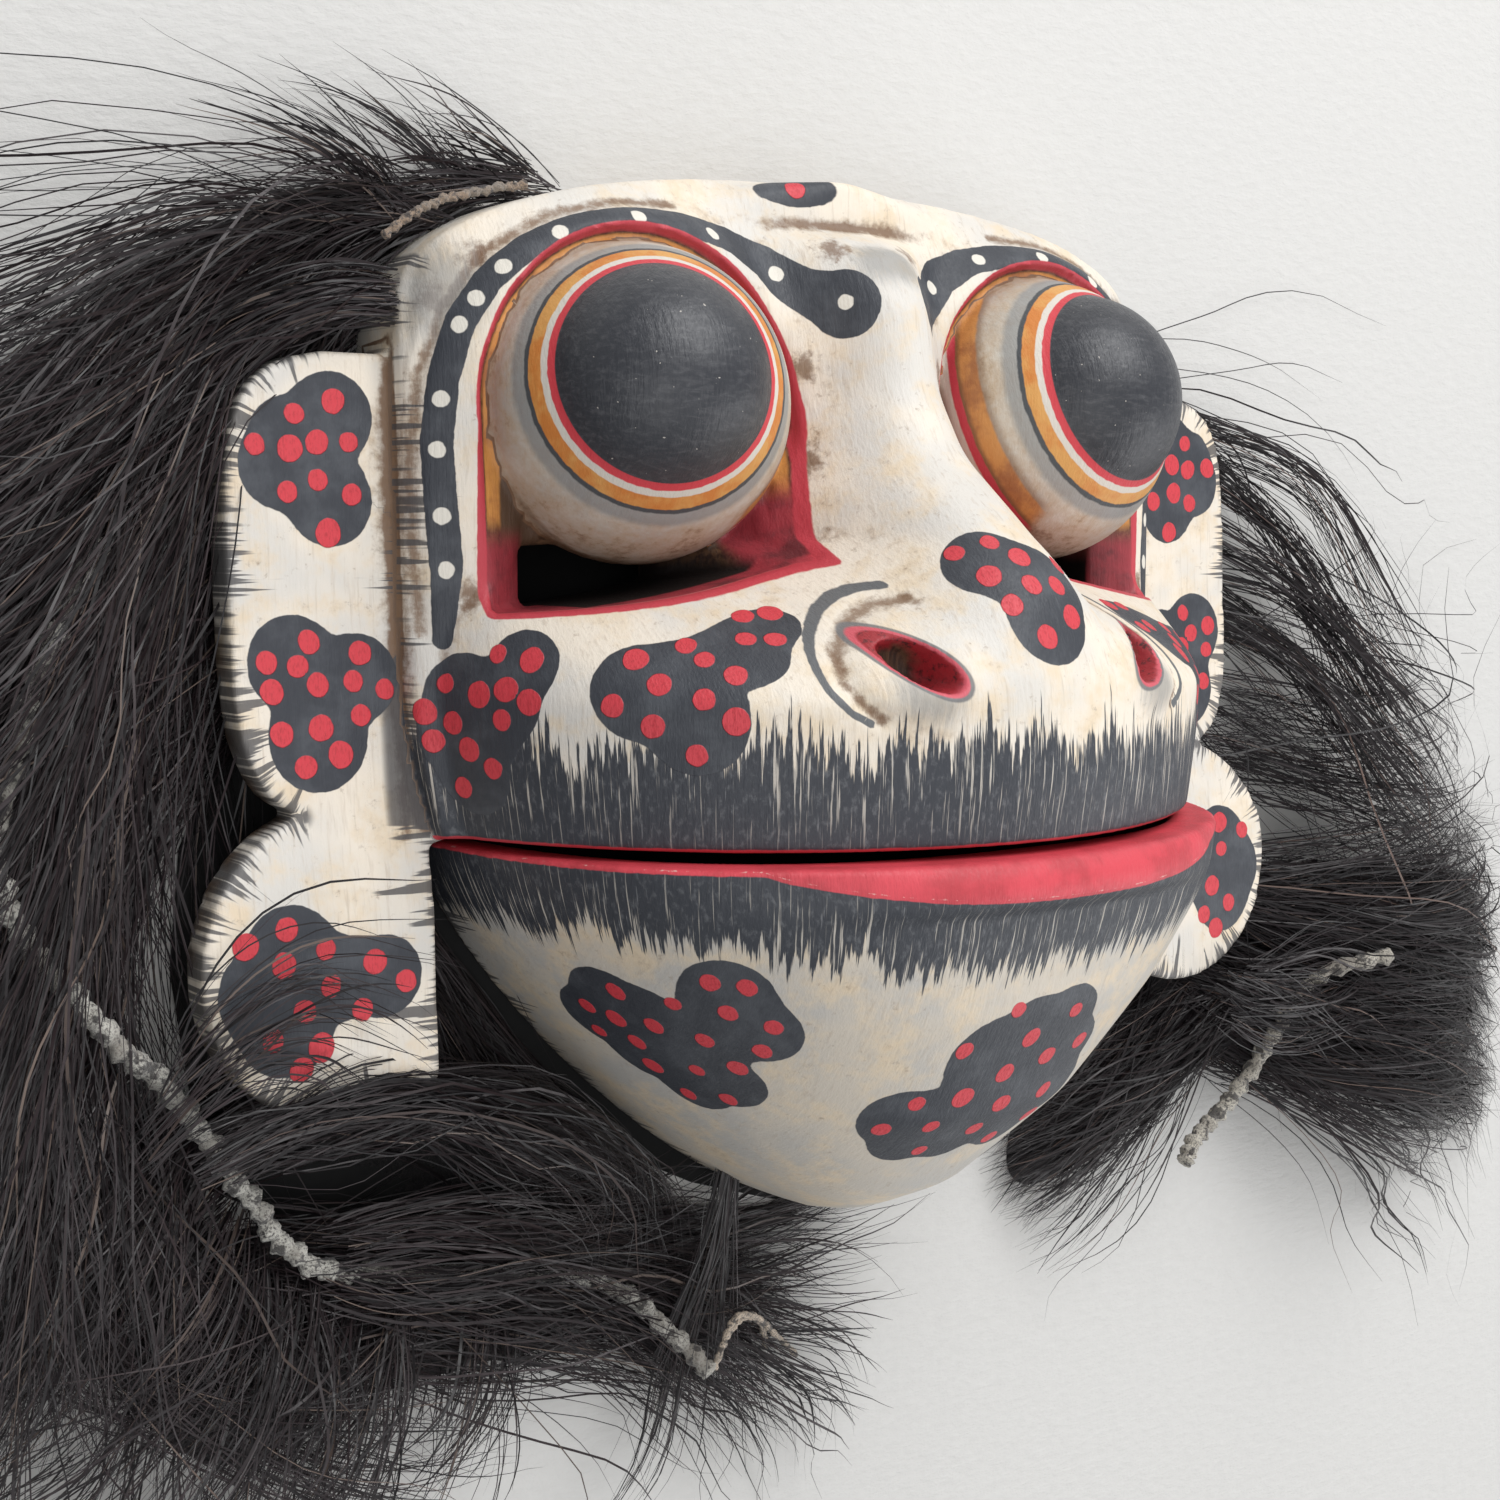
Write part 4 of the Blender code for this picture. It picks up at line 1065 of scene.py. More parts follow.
def face_paint():
    coat, colour = wood_paint("painted face")
    lid, ring, rise, deep, height, wide, panel = (
        coat.field(name) for name in ("lid", "ring", "rise", "deep", "height", "wide", "panel"))

    # Brown rubbed into the cut lines, grey brushed on at the crown, the bridge and by the nostrils
    stain = coat.scaled(coat.speck, 4.0, coat.scaled(coat.wobble, 0.8, -0.9))
    stain = coat.maths("SUBTRACT", stain, coat.times(coat.field("crease"), 1.8))
    colour = coat.laid(colour, (0.20, 0.115, 0.063), stain, -1.2, 1.1, 0.85)
    patch = coat.scaled(coat.speck, -1.6, coat.scaled(coat.blotch, -1.0, 1.3))
    colour = coat.laid(colour, PATINA, coat.plus(patch, coat.field("stain")), 0.75, 0.1, 0.8)
    rubbed = coat.scaled(coat.grain, 0.7, coat.field("smudge"))
    colour = coat.laid(colour, (0.25, 0.245, 0.235), rubbed, 1.25, 0.6, 0.72)
    colour = fringed(coat, colour)
    colour = coat.over(whiskered(coat, colour, rise, 11.0, 23.0), colour, panel)
    colour = clouded(coat, colour, 1.9)
    colour = coat.laid(colour, (0.74, 0.70, 0.62), uneven(coat, coat.spot("white_dot"), 0.9), 1.5, 1.25)

    # Charcoal line beside the wing of the nose; nostril red inside with a grey line round it
    colour = coat.laid(colour, (0.12, 0.125, 0.13), uneven(coat, coat.field("wing"), 0.5), 0.70, 0.5)
    nostril_at = coat.field("nostril")
    inside = coat.laid((0.34, 0.022, 0.030), (0.06, 0.012, 0.014), coat.speck, 0.50, 0.68)
    colour = coat.laid(colour, (0.15, 0.15, 0.155), nostril_at, 1.24, 1.16, 0.9)
    colour = coat.laid(colour, (0.62, 0.10, 0.13), nostril_at, 1.10, 1.04)
    colour = coat.laid(colour, inside, nostril_at, 0.98, 0.92)

    # Socket: red line on its edge, dark groove, orange strip, painted shade deeper in; red corners; painted
    # shade down the slit
    line = uneven(coat, lid, 0.35)
    upper = coat.ramp(rise, 43.0, 46.5)
    groove = coat.laid((0.05, 0.022, 0.014), PATINA, coat.speck, 0.4, 0.6)
    strip = coat.laid(ORANGE, (0.36, 0.13, 0.04), coat.blotch, 0.40, 0.66)
    strip_at = coat.times(coat.ramp(line, -0.8, -1.3), coat.ramp(rise, 49.0, 52.0))
    rim = coat.over(groove, strip, strip_at)
    # Deeper in, the ledge is painted dark brown: painted shade in the gap round the ball
    rim = coat.laid(rim, (0.10, 0.055, 0.03), line, -3.6, -4.4)
    by_temple = coat.times(coat.ramp(wide, 61.0, 62.0), coat.ramp(height, 19.6, 20.6))
    corner = coat.maths("MAXIMUM", coat.ramp(height, 34.5, 36.0), by_temple)
    inner_red = coat.times(coat.ramp(wide, 31.0, 28.0), coat.ramp(rise, 60.0, 54.0))
    outer_red = coat.times(coat.ramp(wide, 64.0, 66.0), coat.ramp(rise, 51.0, 46.0))
    corner_red = coat.laid((0.33, 0.035, 0.048), (0.14, 0.022, 0.028), coat.blotch, 0.45, 0.72)
    # Below the red corners the slit's walls are painted near black: painted shade down the slit
    lower = coat.over((0.012, 0.008, 0.007), corner_red, corner)
    walls = coat.times(coat.ramp(deep, 1.6, 2.4), coat.ramp(lid, 1.6, 1.3))
    in_socket = coat.maths("MAXIMUM", coat.ramp(lid, 0.10, -0.20), walls)
    rim = coat.over(rim, corner_red, coat.maths("MAXIMUM", inner_red, outer_red))
    colour = coat.over(colour, coat.over(lower, rim, upper), in_socket)
    on_edge = coat.times(coat.ramp(line, 0.95, 0.70), coat.ramp(deep, 2.6, 1.5))
    colour = coat.over(colour, LID_RED, coat.times(on_edge, coat.ramp(line, -0.95, -0.6)))

    # Eyeball: its stained edge first, with the lid's own lines carried on to it beside the nose
    ball = coat.laid((0.62, 0.58, 0.51), (0.48, 0.46, 0.42), coat.broad, 0.4, 0.62)
    stained = coat.scaled(coat.blotch, 13.0, coat.scaled(coat.speck, 11.0, -28.0))
    stained = coat.maths("SUBTRACT", coat.plus(stained, ring), 7.0)
    ball = coat.laid(ball, (0.46, 0.32, 0.19), stained, -4.0, 5.0, 0.75)
    ball = coat.laid(ball, PATINA, stained, 2.5, 7.5, 0.9)
    near_lid = coat.ramp(uneven(coat, deep, 0.6), 0.8, 2.4, 0.0, 0.5)
    ball = coat.over(ball, PATINA, coat.times(near_lid, upper))
    past_lid = uneven(coat, coat.field("past_lid"), 0.6)
    by_nose = coat.ramp(wide, 35.0, 32.0)
    for tint, none_at, full_at, cover in (
        (PATINA, 8.2, 6.2, 0.6),
        (strip, 6.5, 5.9, 0.9),
        (PATINA, 3.4, 2.2, 0.8),
        (LID_RED, 2.2, 1.9, 1.0),
        ((0.58, 0.53, 0.45), 0.6, 0.2, 1.0),
        (PATINA, -0.4, -2.2, 0.9),
    ):
        ball = coat.over(ball, tint, coat.times(coat.ramp(past_lid, none_at, full_at, 0.0, cover), by_nose))

    # Then its rings, from the outermost inwards, and the pupil
    ringed = uneven(coat, ring, 0.45)
    orange = coat.laid((0.66, 0.33, 0.09), (0.60, 0.20, 0.035), coat.blotch, 0.4, 0.62)
    for tint, none_at, full_at, cover in (
        ((0.24, 0.245, 0.245), 23.5, 22.7, 0.75),
        ((0.06, 0.065, 0.07), 21.75, 21.55, 1.0),
        (orange, 21.2, 21.05, 1.0),
        ((0.66, 0.61, 0.54), 19.65, 19.5, 1.0),
        ((0.60, 0.045, 0.06), 18.8, 18.65, 1.0),
    ):
        ball = coat.laid(ball, tint, ringed, none_at, full_at, cover)
    brushed = coat.noise(0.9, 4.0, 0.7, coat.stretched(0.35, 1.2, 0.8), 0.6)
    pupil = coat.laid((0.030, 0.032, 0.039), (0.075, 0.076, 0.083), brushed, 0.42, 0.78)
    pupil = coat.laid(pupil, (0.45, 0.42, 0.38), coat.noise(1.3, 1.0, 0.4), 0.775, 0.80)
    in_pupil = coat.ramp(ring, 17.85, 17.7)
    ball = coat.over(ball, pupil, in_pupil)
    colour = coat.laid(colour, ball, ring, 45.0, 40.0)

    # Red under the upper lip
    lip = coat.times(coat.ramp(uneven(coat, rise, 0.4), 0.75, 0.5), coat.ramp(panel, 0.6, 0.4))
    return worn_finish(coat, coat.over(colour, LIP_RED, lip), in_pupil)


def shown(mesh, name, finish, body, node):
    """Put a finished carving, still in millimetres, into the scene in place of its CAD node."""
    mesh.materials.clear()
    mesh.materials.append(finish)
    mesh.transform(Matrix.Scale(MM, 4))
    mesh.shade_smooth()
    stands_for(placed(name, mesh), body, node)


shown(face_mesh, "carved_face", face_paint(), "mask", "face_block")


# ---------------------------------------------------------------------------
# Lower jaw: a separate bowl of the same wood with a full red lip, carved
# hollow behind and painted as the face is. It hangs so that it drops open.

JAW_TOP_Y = 8.7
JAW_DROP = 74.7
JAW_HALF_WIDTH = 75.5
JAW_OUTLINE_ROUND = 1.3
JAW_ROUND = 2.6
JAW_WALL = 7.0
JAW_FLOOR = 11.0
JAW_TRIANGLES = 150000
JAW_PROFILE = (
    (-66.0, 14.0), (-62.0, 32.0), (-55.0, 47.0), (-38.0, 64.0), (-18.0, 75.0),
    (-4.0, 80.0), (1.0, 81.0), (8.7, 80.0),
)
LIP_HALF_LENGTH = 46.0
LIP_HEIGHT = 8.5
LIP_STANDS_OUT = 4.0
# The cloud at each side of the jaw, then the one below the lip: lobes and red dots, as on the cheeks
JAW_SIDE_CLOUD = (
    ((-57.5, -15.5, 35.5, 7.6), (-54.5, -18.0, 41.5, 7.2), (-49.2, -22.8, 45.0, 7.4),
     (-49.7, -13.2, 57.3, 8.4), (-43.6, -19.0, 58.7, 6.6), (-41.4, -29.7, 46.5, 6.6),
     (-48.2, -20.0, 51.5, 7.4), (-55.8, -19.5, 28.0, 6.6), (-50.0, -26.0, 33.0, 6.9),
     (-43.6, -32.5, 38.5, 6.6)),
    ((-58.5, -14, 39), (-58, -18, 29), (-55.5, -19.5, 34), (-54, -23, 26.5), (-53, -20, 41.5),
     (-51.5, -24, 34.5), (-54, -14.5, 48.5), (-52.5, -10, 56.5), (-48.5, -10.5, 61), (-48.5, -15.5, 56),
     (-43, -17.5, 60.5), (-48.5, -21.5, 49), (-42, -22.5, 56.5), (-42.5, -26.5, 50.5), (-47.5, -28.5, 33),
     (-45, -28, 42.5), (-42, -34, 35.5), (-39.5, -33.5, 43)),
)
CHIN_CLOUD = (
    ((9.2, -20.4, 73.4, 6.3), (1.2, -23.0, 72.2, 8.1), (-6.0, -25.8, 70.0, 8.6), (14.2, -35.0, 64.2, 6.6),
     (13.5, -27.0, 69.5, 6.0), (3.0, -33.0, 66.0, 7.6), (-18.6, -36.5, 61.8, 6.7), (-12.5, -36.8, 63.5, 6.4),
     (-14.3, -38.5, 61.5, 6.2), (-7.2, -36.4, 64.5, 6.8),
     (-14.0, -42.0, 58.5, 6.0), (-5.0, -41.5, 60.5, 6.8), (7.0, -41.0, 60.5, 6.8)),
    ((-4, -17.5, 75), (10.5, -19.5, 74), (2, -23.5, 72), (16, -26.5, 69), (8, -28, 69.5), (-12, -24, 71),
     (-0.5, -30, 68.5), (-8, -33.5, 66.5), (12, -35.5, 64.5), (2, -36, 65), (-16.5, -33.5, 64.5),
     (-20, -38, 59.5), (-11.5, -38.5, 62.5), (-0.5, -41, 61), (13.5, -41, 59.5), (-9.5, -44, 57),
     (6, -44.5, 57.5)),
)


def jaw_half_width(y):
    return JAW_HALF_WIDTH * rounded((JAW_TOP_Y - y) / JAW_DROP, JAW_OUTLINE_ROUND)


def jaw_height(x, y):
    """Front of the jaw, with its lip standing out along the top."""
    bowl = eased(JAW_PROFILE, y, 1.5) * rounded(x / np.maximum(1.0, jaw_half_width(y)), JAW_ROUND)
    along = np.maximum(0.0, 1.0 - (x / LIP_HALF_LENGTH) ** 2)
    down = rounded((y - JAW_TOP_Y + 0.45 * LIP_HEIGHT) / (0.55 * LIP_HEIGHT), 2.0)
    return np.maximum(2.0, bowl + LIP_STANDS_OUT * along * down)


def jaw_hollow_width(y):
    return (JAW_HALF_WIDTH - JAW_WALL) * rounded((JAW_TOP_Y - y) / (JAW_DROP - JAW_FLOOR), JAW_OUTLINE_ROUND)


def jaw_hollow_height(x, y):
    depth = eased(JAW_PROFILE, y, 1.5) - JAW_WALL - 1.5
    return np.maximum(1.0, depth * rounded(x / np.maximum(1.0, jaw_hollow_width(y)), JAW_ROUND))


def lip_edge(x):
    """Level of the lip's lower edge."""
    return JAW_TOP_Y - 0.9 - 6.0 * np.maximum(0.0, 1.0 - (np.abs(x - 2.0) / 52.0) ** 2.2) ** 0.8


def jaw_front(points):
    """The painted front of the jaw, which keeps its fine mesh."""
    return points[:, 2] > jaw_height(points[:, 0], points[:, 1]) - 2.0


jaw_foot = JAW_TOP_Y - JAW_DROP
jaw_levels = np.concatenate((towards(JAW_TOP_Y, -40.0, 60, 1.0), towards(-40.9, jaw_foot + 0.05, 36, 1.5)))
hollow_levels = np.concatenate((
    (JAW_TOP_Y + 6.0,), towards(8.0, -38.0, 40, 1.0), towards(-39.0, jaw_foot + JAW_FLOOR + 0.4, 20, 1.5)))
jaw_block = block("jaw", jaw_levels, jaw_half_width, jaw_height, 150, 0.0)
jaw_hollow = block("hollow", hollow_levels, jaw_hollow_width, jaw_hollow_height, 80, -5.0)
jaw_mesh = worked(jaw_block, [("DIFFERENCE", jaw_hollow)], JAW_TRIANGLES, jaw_front)
points = corners_of(jaw_mesh)
x, y, z = points.T
clouds = np.full(len(points), FAR_OFF)
red_dots = []
for flip, (lobes, dots) in ((1, JAW_SIDE_CLOUD), (-1, JAW_SIDE_CLOUD), (1, CHIN_CLOUD)):
    clouds = np.minimum(clouds, to_lobes(points, [(flip * lx, ly, lz, r) for lx, ly, lz, r in lobes]))
    red_dots += [(flip * dx, dy, dz) for dx, dy, dz in dots]
painted_fields(jaw_mesh, points, clouds, on_surface(jaw_mesh, red_dots))
levels = np.linspace(JAW_TOP_Y, jaw_foot + 0.1, 200)
outline = np.column_stack((jaw_half_width(levels), levels))
within = (z < jaw_height(x, y) - 3.5) & (np.abs(x) < jaw_half_width(y) - 1.5) & (y < JAW_TOP_Y - 1.2)
stored(jaw_mesh, "fall", lip_edge(x) - y)
stored(jaw_mesh, "edge", z - 1.0)
stored(jaw_mesh, "edge_along", beside(np.stack((np.abs(x), y), axis=1), outline)[1] + 400.0 * (x > 0.0))
stored(jaw_mesh, "bare", within | (z < 0.7))


def jaw_paint():
    # The jaw's coat is painted about a quarter darker: painted shade, as its front faces down, away from the
    # light
    coat, colour = wood_paint("painted jaw", 0.24)
    fall = coat.field("fall")
    colour = whiskered(coat, fringed(coat, colour), fall, 7.0, 16.0)
    colour = clouded(coat, colour, 1.75)
    lip = coat.laid((0.66, 0.062, 0.085), LIP_RED, coat.blotch, 0.4, 0.7)
    rubbed = coat.plus(coat.maths("ABSOLUTE", coat.plus(fall, 0.6)), coat.times(coat.speck, 1.5))
    lip = coat.laid(lip, (0.72, 0.42, 0.38), rubbed, 0.75, 0.5)
    return worn_finish(coat, coat.laid(colour, lip, uneven(coat, fall, 0.5), 0.12, -0.12))


shown(jaw_mesh, "carved_jaw", jaw_paint(), "jaw", "lower_jaw")


# ---------------------------------------------------------------------------
# Hair: long, coarse, nearly black hair. It is knotted on to the heading cords
# and tacked along the crown's corners and behind the side panels, and lies in
# loose, tangled locks on the table.

STEPS = 14
# How far from the middle of the mask any strand may lie, across and up
REACH = (234.0, 139.0)
# How long the waves in a lock and in a single strand are, and where in a wave they may start
LOCK_WAVES = (55.0, 130.0)
STRAND_WAVES = (25.0, 70.0)
PHASES = (0.0, 6.28)


def evened(grid):
    """A grid of heights with each one spread over its neighbours."""
    padded = np.pad(grid, 1, mode="edge")
    return (padded[:-2, 1:-1] + padded[2:, 1:-1] + padded[1:-1, :-2] + padded[1:-1, 2:] + grid) / 5.0


class Heap:
    """How high one mass of hair lies at any place, in millimetres, from the room kept for it."""

    def __init__(self, node, cell=2.0, margin=44.0):
        lying = shell_of(frame["nodes"][node].data)
        low, high = (np.array(corner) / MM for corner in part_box(node))
        self.start, self.cell = low[:2] - margin, cell
        size = ((high[:2] - low[:2] + 2.0 * margin) / cell).astype(int) + 1
        tops = np.zeros(size)
        for i in range(size[0]):
            for j in range(size[1]):
                x, y = (self.start + cell * np.array((i, j))) * MM
                struck = lying.ray_cast(Vector((x, y, 0.3)), Vector((0.0, 0.0, -1.0)))[0]
                tops[i, j] = struck.z / MM if struck else 0.0
        for _ in range(10):
            tops = evened(tops)
        self.tops = tops

    def top(self, x, y):
        i = np.clip((x - self.start[0]) / self.cell, 0, self.tops.shape[0] - 1.001)
        j = np.clip((y - self.start[1]) / self.cell, 0, self.tops.shape[1] - 1.001)
        a, b = i.astype(int), j.astype(int)
        u, v = i - a, j - b
        t = self.tops
        return ((t[a, b] * (1 - u) + t[a + 1, b] * u) * (1 - v)
                + (t[a, b + 1] * (1 - u) + t[a + 1, b + 1] * u) * v)


def even_line(route, beyond, count=40):
    """A combing line through a few places and on past its end, evenly spaced, and its length."""
    fine = np.array([smooth_between([tuple(p) for p in route], t) for t in np.linspace(0.0, 1.0, 40)])
    way = fine[-1] - fine[-4]
    way /= np.linalg.norm(way)
    fine = np.vstack((fine, fine[-1] + way * beyond * 0.5, fine[-1] + way * beyond + (0.0, -0.12 * beyond)))
    gone = steps_along(fine)
    at = np.linspace(0.0, gone[-1], count)
    return np.stack([np.interp(at, gone, fine[:, k]) for k in (0, 1)], axis=1), gone[-1]


chance = np.random.default_rng(7)


def combed(heap, fan, locks, per_lock, length=(60.0, 120.0), starts=(0.0, 0.5), spread=3.0, drift=0.13,
           bend=12.0, sway=4.0, lift=(0.3, 1.0), arch=4.0, strays=0.16, beyond=40.0, least=0.0, settle=0.0,
           clear=None):
    """Locks of hair laid along a fan of combing lines, as an array (strand, step, xyz) in millimetres.

    Starts are shares of a line, lift a share of the heap's height, settle a share of the least height.
    Clear is how far a strand has to stay from the jaw, where it might touch it.
    """
    lines, lengths = zip(*(even_line(route, beyond) for route in fan))
    lines, lengths = np.array(lines * 2 if len(lines) == 1 else lines), np.array(lengths * 2)
    count = locks * per_lock
    lock = np.repeat(np.arange(locks), per_lock)

    def shared(low, high):
        return chance.uniform(low, high, locks)[lock]

    def own(scale):
        return chance.normal(0.0, scale, count)

    def per_locks(scale):
        return chance.normal(0.0, scale, locks)[lock]

    # Which two lines each strand runs between, where it begins and how far it goes
    gap = np.clip(shared(0.0, len(lines) - 1.0001) + own(0.05), 0.0, len(lines) - 1.0001)
    first, share = gap.astype(int), gap % 1.0
    whole = lengths[first] * (1.0 - share) + lengths[first + 1] * share
    begin = np.clip(shared(*starts) + own(0.03), 0.0, 0.9) * whole
    u = np.linspace(0.0, 1.0, STEPS)
    gone = u * np.minimum(shared(*length) * chance.uniform(0.7, 1.15, count), whole - begin)[:, None]
    at = np.clip((begin[:, None] + gone) / whole[:, None], 0.0, 1.0) * (lines.shape[1] - 1.001)
    i = at.astype(int)
    part = (at - i)[..., None]
    pair = [lines[k[:, None], i] * (1.0 - part) + lines[k[:, None], i + 1] * part for k in (first, first + 1)]
    xy = pair[0] * (1.0 - share[:, None, None]) + pair[1] * share[:, None, None]
    ahead = np.gradient(xy, axis=1)
    ahead /= np.linalg.norm(ahead, axis=2, keepdims=True) + 1e-9
    side = np.stack((-ahead[..., 1], ahead[..., 0]), axis=2)

    # Sideways: strands of a lock part, drift, bend and wave, a few of them much more than the rest
    loose = np.where(chance.random(count) < strays, 3.0, 1.0)
    shift = (own(spread) * shared(0.25, 1.0) + per_locks(1.3 * spread))[:, None] * (0.4 + 0.8 * u)
    shift = shift + (per_locks(drift) + own(0.5 * drift) * loose)[:, None] * gone
    shift += (per_locks(bend) + own(0.6 * bend) * loose)[:, None] * (gone / 100.0) ** 2
    turn = 2.0 * math.pi * gone
    shift += shared(0.0, sway)[:, None] * np.sin(
        turn / shared(*LOCK_WAVES)[:, None] + shared(*PHASES)[:, None])
    shift += own(0.9)[:, None] * np.sin(
        turn / chance.uniform(*STRAND_WAVES, count)[:, None] + chance.uniform(*PHASES, count)[:, None])
    xy = xy + side * shift[..., None]

    # Upwards: a share of the heap's height, sinking to the tips, arched, and never below the least
    high = np.clip(shared(*lift) + own(0.06), 0.04, 1.1)
    z = heap.top(xy[..., 0], xy[..., 1]) * high[:, None] * (1.0 - 0.2 * u ** 2)
    z += shared(0.0, arch)[:, None] * np.sin(math.pi * u)
    z += np.where(loose > 1.0, chance.uniform(0.0, 8.0, count), 0.0)[:, None] * np.sin(0.6 * math.pi * u)
    floor = np.maximum(least * (1.0 - settle * u ** 2), 0.4)
    z = np.maximum(z, floor + chance.uniform(0.0, 2.2, count)[:, None])
    for _ in range(2):
        z[:, 1:-1] = 0.25 * z[:, :-2] + 0.5 * z[:, 1:-1] + 0.25 * z[:, 2:]
    in_reach = np.all((np.abs(xy[..., 0]) < REACH[0]) & (np.abs(xy[..., 1] + 0.5) < REACH[1]), axis=1)
    strands = np.dstack((xy, z))[in_reach]
    return strands if clear is None else clear_of_jaw(strands, clear)


def clear_of_jaw(strands, gap):
    """Leave out the strands within a gap of the jaw, or inside it, shut or on its way open."""
    joint = frame["joints"][0]
    hinge = Vector(joint["pos_m"])
    jaw_shell = shell_of(frame["nodes"]["lower_jaw"].data)
    swing = math.radians(joint["range_deg"][1])
    turns = [Matrix.Rotation(-share * swing, 3, "X") for share in (0.0, 0.33, 0.66, 1.0)]

    def is_free(strand):
        for place in strand * MM:
            for turn in turns:
                spot = turn @ (Vector(place) - hinge) + hinge
                near, outward, _, distance = jaw_shell.find_nearest(spot)
                if distance < gap * MM or (spot - near).dot(outward) < 0.0:
                    return False
        return True

    return strands[[is_free(strand) for strand in strands]]


def strand_mesh(name, strands, widths, tints, finish):
    """Thin strands in one mesh, each turned its own way about its length and drawn out to a point."""
    count, steps = strands.shape[:2]
    chance = np.random.default_rng(len(name))
    ahead = np.gradient(strands, axis=1)
    ahead /= np.linalg.norm(ahead, axis=2, keepdims=True) + 1e-9
    level = np.cross(ahead, (0.0, 0.0, 1.0))
    level /= np.linalg.norm(level, axis=2, keepdims=True) + 1e-9
    upright = np.cross(level, ahead)
    roll = chance.uniform(-0.9, 0.9, count)[:, None, None]
    across = level * np.cos(roll) + upright * np.sin(roll)
    taper = np.interp(np.linspace(0.0, 1.0, steps), (0.0, 0.1, 0.7, 1.0), (0.7, 1.0, 1.0, 0.15))
    reach = across * (0.5 * widths[:, None] * taper)[..., None]
    points = np.stack((strands - reach, strands + reach), axis=2).reshape(-1, 3) * MM
    corner = (np.arange(count)[:, None] * 2 * steps + 2 * np.arange(steps - 1)).ravel()
    faces = np.stack((corner, corner + 1, corner + 3, corner + 2), axis=1)
    mesh = bpy.data.meshes.new(name)
    mesh.vertices.add(len(points))
    mesh.vertices.foreach_set("co", points.astype(np.float32).ravel())
    mesh.loops.add(faces.size)
    mesh.loops.foreach_set("vertex_index", faces.astype(np.int32).ravel())
    mesh.polygons.add(len(faces))
    mesh.polygons.foreach_set("loop_start", np.arange(0, faces.size, 4, dtype=np.int32))
    mesh.update(calc_edges=True)
    stored(mesh, "tint", np.repeat(tints, 2 * steps))
    stored(mesh, "along", np.tile(np.repeat(np.linspace(0.0, 1.0, steps), 2), count))
    mesh.materials.append(finish)
    mesh.shade_smooth()
    return placed(name, mesh)


def hair_finish(name, warmth, dust_and_shade):
    """Coarse hair: almost black, here and there browner or dusty, with a soft shine; less dust and brown also
    paints it darker as shade.
    """
    coat = Finish(name, 0.42)
    tint = coat.field("tint")
    colour = coat.laid((0.007, 0.005, 0.006), (0.030 * warmth, 0.019, 0.021), tint, 0.2, 0.95, dust_and_shade)
    colour = coat.laid(colour, (0.13 * warmth, 0.095, 0.078), tint, 0.955, 0.985)
    dusty = coat.ramp(coat.noise(0.09, 3.0, 0.6), 0.45, 0.75, 0.0, 0.7 * dust_and_shade)
    to_tips = coat.ramp(coat.field("along"), 0.2, 1.0)
    colour = coat.over(colour, (0.036, 0.030, 0.033), coat.times(dusty, to_tips))
    coat.shader.inputs["Specular IOR Level"].default_value = 0.42
    return coat.end(colour, coat.ramp(coat.noise(0.3, 2.0), 0.3, 0.7, 0.36, 0.54))


# How many places of strands lie over a cell of the felt where it begins, and where it is thick
MAT_CROWD = (36.0, 60.0)


def mat_under(name, bundles, finish, share=0.5, cell=3.0):
    """The felted bottom of the hair: low, and only where strands lie thickly over it."""
    dots = np.concatenate([bundle.reshape(-1, 3) for bundle in bundles])
    low = dots[:, :2].min(axis=0) - 4.0 * cell
    place = ((dots[:, :2] - low) / cell).astype(int)
    size = place.max(axis=0) + 5
    crowd, height = np.zeros(size), np.zeros(size)
    np.add.at(crowd, (place[:, 0], place[:, 1]), 1.0)
    np.add.at(height, (place[:, 0], place[:, 1]), dots[:, 2])
    for _ in range(9):
        for grid in (crowd, height):
            grid[1:-1, 1:-1] = evened(grid)[1:-1, 1:-1]
    gx, gy = np.meshgrid(np.arange(size[0]), np.arange(size[1]), indexing="ij")
    x, y = low[0] + gx * cell, low[1] + gy * cell
    lumps = np.sin(x / 7.3 + 1.7 * np.sin(y / 9.1)) * np.sin(y / 6.1 + 1.3 * np.sin(x / 8.3))
    level = (crowd - MAT_CROWD[0]) / (MAT_CROWD[1] - MAT_CROWD[0])
    z = np.clip(level, 0.0, 1.0) * (share * height / np.maximum(crowd, 0.01) + 1.5 * lumps)
    inward = np.stack(np.gradient(level, cell), axis=0)
    pull = inward * np.maximum(0.0, -level) / (np.sum(inward ** 2, axis=0) + 1e-6)
    x, y = x + np.clip(pull[0], -cell, cell), y + np.clip(pull[1], -cell, cell)
    cells = np.maximum(np.maximum(z[:-1, :-1], z[1:, :-1]), np.maximum(z[1:, 1:], z[:-1, 1:])) > 0.0
    top = np.stack((x, y, np.maximum(z, 0.3)), axis=2).reshape(-1, 3)
    base = top * (1.0, 1.0, 0.0) + (0.0, 0.0, 0.1)
    below = len(top)
    faces = []
    for i, j in zip(*np.nonzero(cells)):
        corners = [int(p[0] * size[1] + p[1]) for p in ((i, j), (i + 1, j), (i + 1, j + 1), (i, j + 1))]
        faces += [tuple(corners), tuple(k + below for k in reversed(corners))]
        for k, (over, up) in enumerate(((0, -1), (1, 0), (0, 1), (-1, 0))):
            if not cells[i + over, j + up]:
                a, b = corners[k], corners[(k + 1) % 4]
                faces.append((b, a, a + below, b + below))
    used = np.unique(np.concatenate([np.array(face) for face in faces]))
    number = {int(k): n for n, k in enumerate(used)}
    points = np.vstack((top, base))[used]
    return piece_from(name, points, [tuple(number[k] for k in face) for face in faces], finish)


SHARE_FINE = 0.8
FINE_HAIR = (0.16, 0.27)
COARSE_HAIR = (0.3, 0.5)


